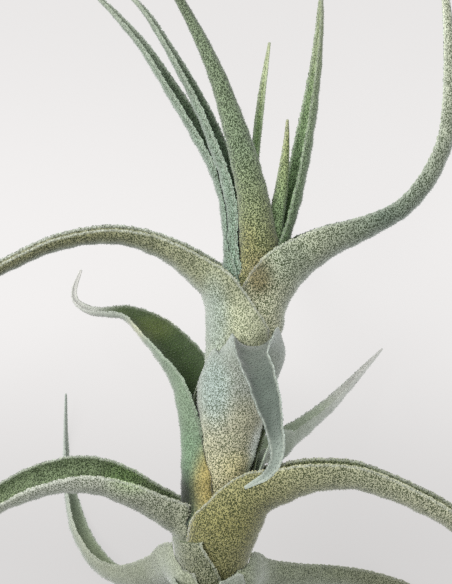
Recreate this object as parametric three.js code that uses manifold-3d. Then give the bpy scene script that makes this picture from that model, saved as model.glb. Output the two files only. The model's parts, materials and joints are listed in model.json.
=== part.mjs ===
// An albida air plant: clasping, channelled leaves in a loose spiral round a slender stem.
// It lies on its back on a flat surface, where five of its curved rear leaves carry it.
// Millimetres. X runs to the plant's right, Y up its stem and Z away from the surface.

import * as THREE from "three";
import Module from "manifold-3d";

const wasm = await Module();
wasm.setup();

const { clamp, degToRad, lerp, smoothstep } = THREE.MathUtils;

// Space left between pieces that touch on the living plant.
const CLEARANCE = 0.3;

// The stem's axis is x = offset + lean * y + bow * y^2, and it sags below sagFrom.
const STEM = {
  bottom: -131,
  top: -9,
  radius: 3.1,
  tipRadius: 0.7,
  taperFrom: -50,
  offset: 5.7,
  lean: 0.165,
  bow: 0.0006,
  sagFrom: -60,
  sag: 0.0012,
  sides: 10,
  rings: 14,
};

// Height of the stem's axis over the surface that the plant lies on.
const STEM_HEIGHT = 48;

// Every leaf starts as a sheath round the stem and runs out into a channelled blade.
const LEAF = {
  sheathSpans: 3,
  stepsPerSpan: 8,
  sheathRings: 4,
  sheathSides: 10,
  bladeRings: 11,
  bladeSides: 4,
  claspingFrom: 118,
  sheathThickness: 0.7,
  bladeThickness: 1.5,
  tipThickness: 0.7,
  edgeThickness: 0.6,
};

// node: height of the leaf's foot on the stem. azimuth: side of the stem it grows from,
// from 0 at the right through 90 at the front. sheath: its height. mouth: its radius at
// the top. flare: 1 for a cone, less for a bulb. wrap: half the angle it clasps, from foot
// to mouth. fold: half the angle of the blade's channel, from base to tip. roll: turn of
// the channel towards the front, likewise. blade: points on the midrib, each followed by
// half the width of the blade there, measured round its channel.
const LEAVES = [
  {
    name: "bud_leaf_small", node: -14, azimuth: 200, sheath: 14, mouth: 2.2, flare: 1,
    wrap: [150, 70], fold: [80, 70], roll: [0, 0],
    blade: [[10.5, 10, -1.5, 2.2], [11.7, 18, -2, 1.8], [12.6, 25, -2, 1.2], [13.4, 30.5, -2, 0.3]],
  },
  {
    name: "bud_leaf", node: -17, azimuth: 60, sheath: 17, mouth: 3, flare: 1,
    wrap: [150, 80], fold: [80, 70], roll: [0, 0],
    blade: [[12, 10.5, 2, 3], [13.2, 18.5, 2, 2.6], [14.4, 26.5, 1.5, 2], [15.1, 35, 1, 1.1],
      [15.4, 43, 1, 0.3]],
  },
  {
    name: "crown_leaf_back", node: -20, azimuth: 285, sheath: 18, mouth: 3.6, flare: 1,
    wrap: [155, 90], fold: [80, 70], roll: [0, 0],
    blade: [[5.5, 12, -4.5, 2.2], [5.8, 23, -5, 1.5], [7.3, 33.5, -5, 1.3], [8.4, 43.5, -5, 1.2],
      [9.5, 52.5, -5.5, 0.9], [11, 63, -6.5, 0.3]],
  },
  {
    name: "crown_leaf_left_inner", node: -24, azimuth: 180, sheath: 22, mouth: 4.2, flare: 1,
    wrap: [155, 95], fold: [85, 75], roll: [20, 25],
    blade: [[1, 10.5, 0, 5.2], [0.9, 20, 0, 5.4], [-0.8, 28.5, 0, 5.2], [-3.6, 36.5, -1, 4.6],
      [-6.9, 45, -2, 3.8], [-11, 53.5, -3, 3], [-15.5, 62, -5, 2.1], [-21, 71, -8, 1.4],
      [-27, 78, -12, 0.3]],
  },
  {
    name: "crown_leaf_right", node: -27, azimuth: 355, sheath: 23, mouth: 5, flare: 1,
    wrap: [155, 100], fold: [85, 75], roll: [20, 10],
    blade: [[14.6, 12, -1, 5], [17.2, 20, -2, 4.9], [19.3, 28.5, -2, 4.8], [21.1, 38, -2, 4.6],
      [22.5, 47.5, -3, 3.8], [23.6, 58, -4, 2.7], [24.2, 68.5, -6, 1.6], [24.3, 79.5, -9, 0.3]],
  },
  {
    name: "crown_leaf_left_outer", node: -31, azimuth: 188, sheath: 26, mouth: 5.2, flare: 1,
    wrap: [155, 105], fold: [80, 75], roll: [20, 20],
    blade: [[0.4, 9.5, -1, 5.6], [-0.2, 18.5, -2, 5.3], [-2.2, 27.5, -3, 4.9], [-6, 35.5, -4, 4.6],
      [-10.8, 44, -5, 4.2], [-15.9, 52.5, -6, 3.5], [-21.4, 61.5, -8, 2.6], [-28.6, 70.5, -11, 1.6],
      [-37, 79.5, -15, 0.3]],
  },
  {
    name: "crown_leaf_front", node: -34, azimuth: 95, sheath: 28, mouth: 5.7, flare: 1,
    wrap: [160, 115], fold: [110, 95], roll: [0, 0],
    blade: [[7.6, 7.5, 5.6, 9.8], [7.1, 16, 6.7, 8], [6.1, 24.5, 7.4, 6.6], [3.7, 34.5, 7.6, 5.6],
      [0.7, 44.5, 6.8, 4.4], [-2.7, 54.5, 5, 3.3], [-7.6, 65.5, 1, 2.3], [-13.5, 76.5, -5, 1.4],
      [-21, 87.5, -13, 0.3]],
  },
  {
    name: "crown_leaf_floor", node: -38, azimuth: 268, sheath: 27, mouth: 6.5, flare: 1,
    wrap: [160, 115], fold: [85, 75], roll: [0, 0],
    blade: [[5.5, -2, -13, 8], [6, 5, -22, 6.5], [6.5, 13, -32, 5.3], [6.5, 22, -41, 4.2],
      [5.5, 31, -46.8, 3.1], [3.5, 41, -47.8, 1.9], [1.5, 51, -45, 0.3]],
  },
  {
    name: "upper_right_leaf", node: -42, azimuth: 4, sheath: 24, mouth: 6.4, flare: 1,
    wrap: [160, 155, 147, 132], fold: [134, 112, 104, 101, 99, 97, 95], roll: [4, 0, -3, 0],
    blade: [[13.3, -9.5, 0, 14.4], [14.8, -3, 0.5, 15.9], [19, 3.2, 1, 14.8], [25.6, 8.8, 2, 11],
      [33.6, 13, 3, 7.9], [41.3, 17.1, 3, 5.9], [47.2, 21.6, 4, 5.4], [52.5, 28.8, 4, 5.4],
      [55.7, 36.5, 4, 5], [56.9, 45, 4, 4.6], [57, 56.5, 3, 3.9], [55.9, 70, 1, 2.4],
      [53.5, 84, -3, 0.3]],
  },
  {
    name: "upper_left_leaf", node: -47, azimuth: 178, sheath: 35, mouth: 8.2, flare: 0.9,
    wrap: [160, 160, 160, 156], fold: [100, 100, 98, 98, 98, 95], roll: [0, 4, 9, 10],
    blade: [[-4.7, -2.8, 1, 15], [-8.4, 2.6, 1.5, 11], [-14.6, 7.8, 2.5, 7.9], [-21.4, 11.1, 3, 6.3],
      [-30, 12.6, 4, 5.2], [-41, 11, 4, 4.6], [-49, 8, 3, 4.2], [-56.5, 4.4, 2, 3.9],
      [-66.5, -1.2, 1, 3.6], [-77.8, -9.5, -2, 3], [-88, -19.5, -6, 2], [-95, -31, -11, 0.3]],
  },
  {
    name: "front_leaf", node: -53, azimuth: 70, sheath: 29, mouth: 9.1, flare: 0.72,
    wrap: [160, 156, 136, 96], fold: [80, 77, 76, 75, 72, 68, 65, 62, 60], roll: [1, -7, -5, 0, 0, 0],
    blade: [[7.4, -19, 10.2, 12.2], [7.6, -13.9, 14.8, 7.8], [6.7, -17, 24, 5.2],
      [8.5, -21.8, 33, 4.6], [10.1, -27, 39, 3.8], [11.4, -32.2, 43, 2.6], [11.9, -37.8, 45.5, 1.8],
      [9.8, -42, 46, 1.2], [4.4, -45.3, 45, 0.3]],
  },
  {
    name: "middle_back_leaf", node: -58.5, azimuth: 262, sheath: 28, mouth: 9.8, flare: 0.8,
    wrap: [160, 120, 90, 80], fold: [80, 75], roll: [0, 0],
    blade: [[1, -22, -17, 8], [1, -19, -27, 6.5], [1, -23, -37, 5.2], [0, -33, -44, 3.9],
      [-1, -45, -46.5, 2.3], [-1, -57, -45, 0.3]],
  },
  {
    name: "middle_right_leaf", node: -65, azimuth: 320, sheath: 24, mouth: 10.2, flare: 0.7,
    wrap: [160, 110, 72, 55], fold: [75, 70], roll: [0, 0],
    blade: [[12.4, -43, -15, 9.6], [16.9, -39.3, -20, 7.2], [22.1, -35.3, -25, 5.1],
      [27.5, -30.7, -29.5, 3.7], [33.6, -24.3, -35, 2.1], [41.7, -15.2, -41, 0.3]],
  },
  {
    name: "middle_left_leaf", node: -71, azimuth: 217, sheath: 14, mouth: 9, flare: 0.6,
    wrap: [160, 150, 145, 142],
    fold: [150, 146, 133, 113, 86, 70, 66, 74, 88, 86, 84, 82, 80],
    roll: [0, 0, 0, 2, 5, 9, 14, 19, 24, 23, 22, 21, 20],
    blade: [[-9.5, -50, -4, 14.8], [-9.5, -44, -3.3, 13.7], [-9.8, -37, -2.8, 10.4],
      [-10.5, -30.3, -4.4, 9.7], [-11.7, -24, -7.2, 10], [-14.3, -18.5, -10, 9.8],
      [-19.6, -11.6, -13.5, 7.5], [-25, -6.8, -17, 4], [-30.5, -5.9, -20, 2.4],
      [-34.8, -5.5, -24, 1.8], [-38.9, -3.1, -27.5, 1.1], [-39.9, 0.3, -30, 0.8],
      [-38.2, 5.8, -32, 0.3]],
  },
  {
    name: "lower_right_leaf", node: -77, azimuth: 6, sheath: 17.5, mouth: 9.8, flare: 0.7,
    wrap: [160, 155, 145, 126], fold: [115, 105, 100, 100, 95], roll: [0, 5, 8, 16, 16],
    blade: [[10.2, -54.5, 1.2, 16], [15.2, -51.8, 1.8, 12.4], [19.8, -49.9, 2.4, 11.1],
      [25.5, -48.6, 2.8, 9.5], [32.1, -48.6, 2.8, 8.5], [38.8, -50.5, 2, 7.7], [45.4, -53.2, 1, 7.2],
      [51.9, -56.4, 0, 6.9], [58.5, -60.8, -2, 6.3], [66, -67, -5, 5.2], [75.5, -77, -10, 3.4],
      [84, -90, -17, 0.3]],
  },
  {
    name: "lower_left_leaf", node: -83, azimuth: 192, sheath: 21, mouth: 10.4, flare: 0.7,
    wrap: [160, 135, 108, 80], fold: [107, 105, 98, 98], roll: [-26, -18, 0, 8, 12, 8, 4],
    blade: [[-13.5, -59.7, -1.5, 12], [-19.2, -55.8, -1, 10], [-25, -52.5, 0, 9.8],
      [-32, -49.5, 1, 9.5], [-39, -48.7, 1, 8.7], [-45.5, -49.6, 1, 7.7], [-51, -51.5, 0, 6.9],
      [-57, -54.2, -1, 6], [-66, -59.6, -4, 5.5], [-76, -68, -8, 4.6], [-85, -79, -13, 3],
      [-91, -92, -19, 0.3]],
  },
  {
    name: "floor_left_leaf", node: -94, azimuth: 222, sheath: 19, mouth: 9.6, flare: 0.7,
    wrap: [160, 105], fold: [85, 75], roll: [0, 0],
    blade: [[-16, -74.5, -15, 9], [-24.5, -76.5, -25, 7], [-33, -74.2, -34, 5.6],
      [-38.9, -67.6, -41.5, 4.7], [-41.8, -60, -45.8, 3.7], [-43, -51, -47.6, 2.2],
      [-43.4, -42, -47.2, 1], [-43, -27.3, -43.5, 0.3]],
  },
  {
    name: "floor_right_leaf", node: -98, azimuth: 320, sheath: 20, mouth: 9.4, flare: 0.7,
    wrap: [160, 105], fold: [85, 75], roll: [0, 0],
    blade: [[8, -76, -17, 9], [17, -77, -28, 7.2], [27, -77.5, -38, 5.8], [38, -79, -45.5, 4.6],
      [50, -82, -47.2, 3.2], [63, -88, -43, 0.3]],
  },
  {
    name: "low_front_leaf", node: -102, azimuth: 95, sheath: 22, mouth: 9.6, flare: 0.7,
    wrap: [160, 110], fold: [85, 75], roll: [0, 0],
    blade: [[-6, -76, 16, 9], [-6.5, -75, 26, 7.2], [-6.5, -80, 35, 6], [-5, -89, 41, 4.8],
      [-2, -100, 43, 3.3], [3, -111, 41, 1.9], [9, -120, 37, 0.3]],
  },
  {
    name: "low_left_leaf", node: -107, azimuth: 190, sheath: 20, mouth: 9.2, flare: 0.7,
    wrap: [160, 105], fold: [85, 80], roll: [0, 10],
    blade: [[-20, -84, -4, 9.5], [-29, -81.5, -5, 7.5], [-39, -84, -7, 6.2], [-48, -91, -10, 5],
      [-55, -101, -14, 3.6], [-59, -112, -19, 2], [-60, -123, -25, 0.3]],
  },
  {
    name: "low_back_leaf", node: -112, azimuth: 292, sheath: 18, mouth: 8.6, flare: 0.7,
    wrap: [160, 100], fold: [80, 75], roll: [0, 0],
    blade: [[1, -95, -20, 8], [5, -95, -31, 6.4], [9, -100, -40, 5.2], [13, -109, -45.5, 3.9],
      [17, -119, -46.5, 2.3], [20, -130, -43, 0.3]],
  },
  {
    name: "dry_leaf_front", node: -116.5, azimuth: 120, sheath: 13, mouth: 7.6, flare: 0.7,
    wrap: [160, 105], fold: [70, 60], roll: [0, 30],
    blade: [[-13, -97, 9, 6], [-17, -93, 15, 4.4], [-22, -92, 20, 2.6], [-27, -95, 23, 0.3]],
  },
  {
    name: "dry_leaf_right", node: -120.5, azimuth: 350, sheath: 13, mouth: 7.6, flare: 0.7,
    wrap: [160, 105], fold: [70, 60], roll: [0, -30],
    blade: [[7, -102, -7, 5.6], [13, -99, -9, 4.2], [19, -100, -12, 2.5], [24, -105, -15, 0.3]],
  },
];

// Wiry roots at the foot of the stem, each a path that starts inside it.
const ROOT = { radius: 0.6, tipRadius: 0.35, sides: 5, rings: 8 };
const ROOTS = [
  [[-6.5, -122, -5], [-11, -126, -7], [-17, -132, -12], [-21, -140, -14]],
  [[-5.5, -124, -5], [-3, -131, -9], [1, -138, -15], [2, -148, -18]],
  [[-5.5, -127, -5], [-8, -134, -4], [-9, -143, 0], [-13, -151, 3]],
  [[-5, -129, -6], [-1, -135, -3], [6, -140, -1], [14, -142, -4]],
];

const MATERIALS = {
  leaf: new THREE.MeshStandardMaterial({ color: 0x9fac90, roughness: 0.85, metalness: 0 }),
  dry_leaf: new THREE.MeshStandardMaterial({ color: 0xa58f6c, roughness: 0.9, metalness: 0 }),
  stem: new THREE.MeshStandardMaterial({ color: 0x7a6a52, roughness: 0.9, metalness: 0 }),
};

// Stem axis and its direction at a height.
function stemCentre(y) {
  const below = Math.max(0, STEM.sagFrom - y);
  const x = STEM.offset + STEM.lean * y + STEM.bow * y * y;
  return new THREE.Vector3(x, y, -STEM.sag * below * below);
}

function stemDirection(y) {
  const below = Math.max(0, STEM.sagFrom - y);
  return new THREE.Vector3(STEM.lean + 2 * STEM.bow * y, 1, 2 * STEM.sag * below).normalize();
}

function stemRadius(y) {
  return lerp(STEM.radius, STEM.tipRadius, smoothstep(y, STEM.taperFrom, STEM.top));
}

// A closed solid from rings of points: each ring is joined to the next, and the ends closed.
class Loft {
  constructor() {
    this.vertices = [];
    this.triangles = [];
  }

  add(points) {
    const first = this.vertices.length;
    this.vertices.push(...points);
    return points.map((_, i) => first + i);
  }

  // Joins two rings that may have different numbers of points, each walked from 0 to 1.
  join(ringA, sharesA, ringB, sharesB) {
    const [a, b] = [[...ringA, ringA[0]], [...ringB, ringB[0]]];
    const [sa, sb] = [[...sharesA, 1], [...sharesB, 1]];
    let i = 0;
    let j = 0;
    while (i < a.length - 1 || j < b.length - 1) {
      const stepA = j === b.length - 1 || (i < a.length - 1 && sa[i + 1] <= sb[j + 1] + 1e-9);
      if (stepA) {
        this.triangles.push([a[i], b[j], a[i + 1]]);
        i += 1;
      } else {
        this.triangles.push([a[i], b[j], b[j + 1]]);
        j += 1;
      }
    }
  }

  // Closes a leaf's foot, whose ring runs out along one face and back along the other.
  closeStrip(ring) {
    const half = ring.length / 2;
    for (let i = 0; i < half - 1; i++) {
      const [p, q] = [ring[i], ring[i + 1]];
      const [r, s] = [ring[ring.length - 2 - i], ring[ring.length - 1 - i]];
      this.triangles.push([p, q, r], [p, r, s]);
    }
  }

  closePoint(ring, point, atFoot) {
    const [apex] = this.add([point]);
    ring.forEach((p, i) => {
      const q = ring[(i + 1) % ring.length];
      this.triangles.push(atFoot ? [p, q, apex] : [q, p, apex]);
    });
  }

  solid() {
    return new wasm.Manifold(new wasm.Mesh({
      numProp: 3,
      vertProperties: new Float32Array(this.vertices.flatMap((v) => v.toArray())),
      triVerts: new Uint32Array(this.triangles.flat()),
    }));
  }
}

// Value at a share of the way along evenly spaced values.
function along(values, share) {
  const at = clamp(share, 0, 1) * (values.length - 1);
  const from = Math.min(Math.floor(at), values.length - 2);
  return lerp(values[from], values[from + 1], at - from);
}

// Midrib and section curves of a leaf, with one control point at each end of each span.
function leafCurves(leaf) {
  const turn = degToRad(leaf.azimuth);
  const outward = new THREE.Vector3(Math.cos(turn), 0, Math.sin(turn));
  const foot = stemRadius(leaf.node) + CLEARANCE + LEAF.sheathThickness / 2;
  const points = [];
  const sections = [];
  for (let i = 0; i <= LEAF.sheathSpans; i++) {
    const share = i / LEAF.sheathSpans;
    const radius = lerp(foot, leaf.mouth, share ** leaf.flare);
    points.push(stemCentre(leaf.node + leaf.sheath * share).addScaledVector(outward, radius));
    sections.push(new THREE.Vector3(radius, degToRad(along(leaf.wrap, share)), 0));
  }
  leaf.blade.forEach(([x, y, z, halfWidth], i) => {
    const share = i / (leaf.blade.length - 1);
    const fold = degToRad(along(leaf.fold, share));
    points.push(new THREE.Vector3(x, y, z));
    const roll = degToRad(along(leaf.roll, share)) * Math.sign(outward.x);
    sections.push(new THREE.Vector3(halfWidth / fold, fold, roll));
  });
  const curve = (p) => new THREE.CatmullRomCurve3(p, false, "catmullrom");
  return { midrib: curve(points), section: curve(sections), outward };
}

// Stations along a leaf, each with its midrib point, its frame and its section.
function leafStations(leaf) {
  const { midrib, section, outward } = leafCurves(leaf);
  const spans = midrib.points.length - 1;
  const steps = spans * LEAF.stepsPerSpan;
  const normal = outward.clone().negate();
  const turn = new THREE.Quaternion();
  const stations = [];
  let previous = null;
  for (let i = 0; i <= steps; i++) {
    const point = midrib.getPoint(i / steps);
    const span = i / LEAF.stepsPerSpan;
    const freed = smoothstep(span, LEAF.sheathSpans - 1.5, LEAF.sheathSpans + 1);
    const tangent = stemDirection(point.y).lerp(midrib.getTangent(i / steps), freed).normalize();
    if (previous) normal.applyQuaternion(turn.setFromUnitVectors(previous, tangent));
    normal.addScaledVector(tangent, -normal.dot(tangent)).normalize();
    const { x: radius, y: halfAngle, z: roll } = section.getPoint(i / steps);
    const bladeShare = clamp((span - LEAF.sheathSpans) / (spans - LEAF.sheathSpans), 0, 1);
    const sheathShare = clamp(span / LEAF.sheathSpans, 0, 1);
    const thickness = lerp(
      lerp(LEAF.sheathThickness, LEAF.bladeThickness, sheathShare ** 2),
      LEAF.tipThickness,
      bladeShare,
    );
    stations.push({
      point,
      tangent,
      normal: normal.clone().applyAxisAngle(tangent, roll),
      radius,
      halfAngle,
      thickness: Math.min(thickness, 1.6 * radius),
    });
    previous = tangent.clone();
  }
  return stations;
}

// One ring of a leaf: out along its lower face and back along its upper one.
function leafRing({ point, tangent, normal, radius, halfAngle, thickness }, sides, grow) {
  const across = new THREE.Vector3().crossVectors(tangent, normal);
  const centre = point.clone().addScaledVector(normal, radius);
  const reach = Math.min(halfAngle + grow / radius, degToRad(174));
  const edge = Math.min(LEAF.edgeThickness, thickness);
  const points = [];
  const shares = [];
  for (const face of [1, -1]) {
    for (let i = 0; i <= sides; i++) {
      const share = face * ((2 * i) / sides - 1);
      const angle = reach * share;
      const half = lerp(thickness, edge, share ** 2) / 2 + grow;
      const r = Math.max(radius + face * half, 0.05);
      points.push(
        centre.clone().addScaledVector(normal, -Math.cos(angle) * r)
          .addScaledVector(across, Math.sin(angle) * r),
      );
      shares.push((face > 0 ? 0 : 0.5) + (0.49 * i) / sides);
    }
  }
  return { points, shares };
}

// A leaf as a solid, or, grown by the clearance, as the room that its neighbours leave it.
function leafSolid(leaf, grow = 0) {
  const stations = leafStations(leaf);
  const mouth = LEAF.sheathSpans * LEAF.stepsPerSpan;
  const last = stations.length - 1;
  const picks = [];
  for (let i = 0; i < LEAF.sheathRings; i++) {
    const at = Math.round((mouth * i) / (LEAF.sheathRings - 1));
    picks.push([at, LEAF.sheathSides]);
  }
  const rings = Math.min(LEAF.bladeRings, 2 * leaf.blade.length);
  for (let i = 1; i < rings; i++) {
    const at = Math.round(mouth + ((last - mouth) * i) / rings);
    const clasping = i < 2 || stations[at].halfAngle > degToRad(LEAF.claspingFrom);
    picks.push([at, clasping ? LEAF.sheathSides : LEAF.bladeSides]);
  }
  const loft = new Loft();
  let before = null;
  for (const [at, sides] of picks) {
    const station = stations[at];
    if (at === 0) station.point.addScaledVector(station.tangent, -grow);
    const { points, shares } = leafRing(station, sides, grow);
    const ring = loft.add(points);
    if (before) loft.join(before.ring, before.shares, ring, shares);
    else loft.closeStrip(ring);
    before = { ring, shares };
  }
  const tip = stations[last].point.clone().addScaledVector(stations[last].tangent, grow);
  loft.closePoint(before.ring, tip, false);
  return loft.solid();
}

// A round rod whose rings stand at the given centres, with their directions and radii.
function rodSolid(stations, sides) {
  const loft = new Loft();
  let before = null;
  for (const { centre, along: axis, radius } of stations) {
    const side = new THREE.Vector3().crossVectors(axis, new THREE.Vector3(0, 0, 1)).normalize();
    const up = new THREE.Vector3().crossVectors(side, axis);
    const points = [];
    const shares = [];
    for (let k = 0; k < sides; k++) {
      const angle = (2 * Math.PI * k) / sides;
      points.push(
        centre.clone().addScaledVector(side, Math.cos(angle) * radius)
          .addScaledVector(up, Math.sin(angle) * radius),
      );
      shares.push(k / sides);
    }
    const ring = loft.add(points);
    if (before) loft.join(before.ring, before.shares, ring, shares);
    else loft.closePoint(ring, centre.clone().addScaledVector(axis, -radius / 3), true);
    before = { ring, shares };
  }
  const { centre, along: axis, radius } = stations.at(-1);
  loft.closePoint(before.ring, centre.clone().addScaledVector(axis, radius), false);
  return loft.solid();
}

// The stem as a rod, or, grown by the clearance, as the room that the leaves leave it.
function stemRod(grow = 0) {
  const heights = Array.from({ length: STEM.rings + 1 }, (_, i) =>
    lerp(STEM.bottom, STEM.top, i / STEM.rings));
  const stations = heights.map((y) => ({
    centre: stemCentre(y),
    along: stemDirection(y),
    radius: stemRadius(y) + grow,
  }));
  return rodSolid(stations, STEM.sides);
}

// The stem, with its roots grown from it.
function stemSolid() {
  const rods = [stemRod()];
  for (const path of ROOTS) {
    const curve = new THREE.CatmullRomCurve3(path.map((p) => new THREE.Vector3(...p)));
    const shares = Array.from({ length: ROOT.rings + 1 }, (_, i) => i / ROOT.rings);
    rods.push(rodSolid(
      shares.map((t) => ({
        centre: curve.getPoint(t),
        along: curve.getTangent(t),
        radius: lerp(ROOT.radius, ROOT.tipRadius, t),
      })),
      ROOT.sides,
    ));
  }
  return wasm.Manifold.union(rods);
}

// The largest single body of a solid.
function mainBody(solid) {
  return solid.decompose().reduce((a, b) => (a.volume() > b.volume() ? a : b));
}

function boxOf(solid) {
  const { min, max } = solid.boundingBox();
  return new THREE.Box3(new THREE.Vector3(...min), new THREE.Vector3(...max));
}

// The space below the surface that the plant lies on.
const floorBlock = (() => {
  const slab = new THREE.BoxGeometry(600, 600, 50).translate(0, 0, -STEM_HEIGHT - 25);
  const corners = new Map();
  const { array } = slab.getAttribute("position");
  const merged = [];
  const index = [];
  for (let i = 0; i < array.length; i += 3) {
    const key = array.slice(i, i + 3).join();
    if (!corners.has(key)) {
      corners.set(key, corners.size);
      merged.push(...array.slice(i, i + 3));
    }
    index.push(corners.get(key));
  }
  return new wasm.Manifold(new wasm.Mesh({
    numProp: 3,
    vertProperties: new Float32Array(merged),
    triVerts: new Uint32Array([...slab.index.array].map((v) => index[v])),
  }));
})();

function meshOf(name, solid, material) {
  const { vertProperties, triVerts, numProp } = solid.getMesh();
  if (numProp !== 3) throw new Error(`${name} carries more than positions`);
  const geometry = new THREE.BufferGeometry()
    .setAttribute("position", new THREE.BufferAttribute(vertProperties, 3))
    .setIndex(new THREE.BufferAttribute(triVerts, 1));
  geometry.computeVertexNormals();
  const mesh = new THREE.Mesh(geometry, material);
  mesh.name = name;
  return mesh;
}

// From the bud outwards, each leaf gives way to the stem and to the leaves inside it.
const airPlant = new THREE.Group();
airPlant.name = "air_plant";
const stem = stemSolid();
airPlant.add(meshOf("stem", stem, MATERIALS.stem));
const stemRoom = stemRod(CLEARANCE);
const taken = [];
const bounds = boxOf(stem);
for (const leaf of LEAVES) {
  let solid = leafSolid(leaf);
  const reach = boxOf(solid);
  if (solid.intersect(stem).volume() > 0) solid = solid.subtract(stemRoom);
  for (const inner of taken) {
    if (inner.box.intersectsBox(reach)) solid = solid.subtract(inner.room);
  }
  solid = mainBody(solid.subtract(floorBlock));
  const room = leafSolid(leaf, CLEARANCE);
  taken.push({ room, box: boxOf(room) });
  bounds.union(boxOf(solid));
  const material = leaf.name.startsWith("dry_") ? MATERIALS.dry_leaf : MATERIALS.leaf;
  airPlant.add(meshOf(leaf.name, solid, material));
}

const middle = bounds.getCenter(new THREE.Vector3());
airPlant.position.set(-middle.x, -middle.y, STEM_HEIGHT);
export default airPlant;
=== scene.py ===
"""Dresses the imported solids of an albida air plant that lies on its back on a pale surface.

Each leaf is rebuilt as a fine sheet on the same midrib and channel as its solid, and is then
covered in rows of silvery leaf scales. Lengths are in millimetres in the plant's own axes (X to
its right, Y up its stem, Z towards the side that is seen) until a mesh is written in metres.
"""

import json
import logging
import math
from dataclasses import dataclass, field
from enum import Enum

import bmesh
import bpy
import numpy as np
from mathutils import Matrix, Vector
from mathutils.bvhtree import BVHTree
from mathutils.kdtree import KDTree

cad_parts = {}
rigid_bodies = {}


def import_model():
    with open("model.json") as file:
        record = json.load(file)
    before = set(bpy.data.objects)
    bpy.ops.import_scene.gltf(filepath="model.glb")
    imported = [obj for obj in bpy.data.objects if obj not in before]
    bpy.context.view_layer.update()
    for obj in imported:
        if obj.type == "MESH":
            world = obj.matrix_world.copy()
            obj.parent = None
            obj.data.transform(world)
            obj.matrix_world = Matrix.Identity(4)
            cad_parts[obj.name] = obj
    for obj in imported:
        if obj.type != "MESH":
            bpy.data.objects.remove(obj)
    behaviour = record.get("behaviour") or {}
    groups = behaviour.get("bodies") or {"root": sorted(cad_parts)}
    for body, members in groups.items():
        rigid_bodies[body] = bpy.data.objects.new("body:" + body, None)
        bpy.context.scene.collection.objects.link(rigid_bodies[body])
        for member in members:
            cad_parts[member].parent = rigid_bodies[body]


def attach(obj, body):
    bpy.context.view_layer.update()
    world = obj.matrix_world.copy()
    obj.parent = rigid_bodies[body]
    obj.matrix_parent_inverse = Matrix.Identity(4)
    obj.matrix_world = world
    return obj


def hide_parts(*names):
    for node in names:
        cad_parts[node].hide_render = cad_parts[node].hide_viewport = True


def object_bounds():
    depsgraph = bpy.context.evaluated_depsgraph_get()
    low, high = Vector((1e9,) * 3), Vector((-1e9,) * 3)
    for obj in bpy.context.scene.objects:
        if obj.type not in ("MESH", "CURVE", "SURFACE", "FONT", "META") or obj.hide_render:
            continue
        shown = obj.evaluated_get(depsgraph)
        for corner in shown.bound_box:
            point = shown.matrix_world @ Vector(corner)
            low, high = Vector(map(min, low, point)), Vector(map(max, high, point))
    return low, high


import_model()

LOG = logging.getLogger("air_plant")

MM = 0.001
BODY = "root"
SEED = 7

# Height of the stem's axis over the surface that the plant lies on.
STEM_HEIGHT = 48.0

# The photograph's frame, the size of one of its pixels on the plant, and how far away it is.
FRAME_WIDTH_PX = 452
FRAME_HEIGHT_PX = 584
PIXEL_MM = 0.25
VIEW_DISTANCE = 600.0

# The bake's map, the strip that is left free along its edges, and what lies between.
MAP = "OFBake"
MAP_EDGE = 0.01
MAP_SPAN = 1 - 2 * MAP_EDGE

# One number or many, three of them, two, a colour as seen from 0 to 255, and Blender's own kinds.
Numbers = float | np.ndarray
Triple = tuple[float, float, float]
Pair = tuple[float, float]
Seen = tuple[int, int, int]
Piece = bpy.types.Object
Material = bpy.types.Material
Socket = bpy.types.NodeSocket


def lerp(a: Numbers, b: Numbers, t: Numbers) -> Numbers:
    """A value between a and b at share t."""
    return a + (b - a) * t


def smoothstep(x: Numbers, low: float, high: float) -> Numbers:
    """0 below low, 1 above high and smooth between them."""
    t = np.clip((x - low) / (high - low), 0.0, 1.0)
    return t * t * (3 - 2 * t)


def along(values: list[float], share: np.ndarray) -> np.ndarray:
    """Value at a share of the way along evenly spaced values."""
    return np.interp(share, np.linspace(0, 1, len(values)), values)


def unit(vectors: np.ndarray) -> np.ndarray:
    """The vectors, each at length 1."""
    return vectors / np.linalg.norm(vectors, axis=-1, keepdims=True)


def linear(colour: Seen) -> np.ndarray:
    """A colour as it is seen, from 0 to 255, as the linear light that shaders use."""
    c = np.array(colour, float) / 255
    return np.where(c <= 0.04045, c / 12.92, ((c + 0.055) / 1.055) ** 2.4)


def spline(points: np.ndarray, at: np.ndarray) -> tuple[np.ndarray, np.ndarray]:
    """A Catmull-Rom curve through evenly numbered points.

    Args:
        points: The points, one a row.
        at: Where to read the curve, from 0 at the first point to n - 1 at the last.

    Returns:
        The curve's values and its slopes there.
    """
    ends = np.vstack([2 * points[0] - points[1], points, 2 * points[-1] - points[-2]])
    k = np.clip(np.floor(at).astype(int), 0, len(points) - 2)
    t = (at - k)[:, None]
    p0, p1, p2, p3 = (ends[k + i] for i in range(4))
    v0, v1 = (p2 - p0) / 2, (p3 - p1) / 2
    a = 2 * p1 - 2 * p2 + v0 + v1
    b = -3 * p1 + 3 * p2 - 2 * v0 - v1
    return ((a * t + b) * t + v0) * t + p1, (3 * a * t + 2 * b) * t + v0


def turned(vectors: np.ndarray, axes: np.ndarray, angles: np.ndarray) -> np.ndarray:
    """Vectors turned about axes.

    Args:
        vectors: The vectors, one a row.
        axes: A unit axis for each.
        angles: A turn for each, in radians.

    Returns:
        The turned vectors.
    """
    c, s = np.cos(angles)[:, None], np.sin(angles)[:, None]
    dots = np.sum(vectors * axes, axis=1, keepdims=True)
    return vectors * c + np.cross(axes, vectors) * s + axes * dots * (1 - c)


# The plant's form


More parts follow.
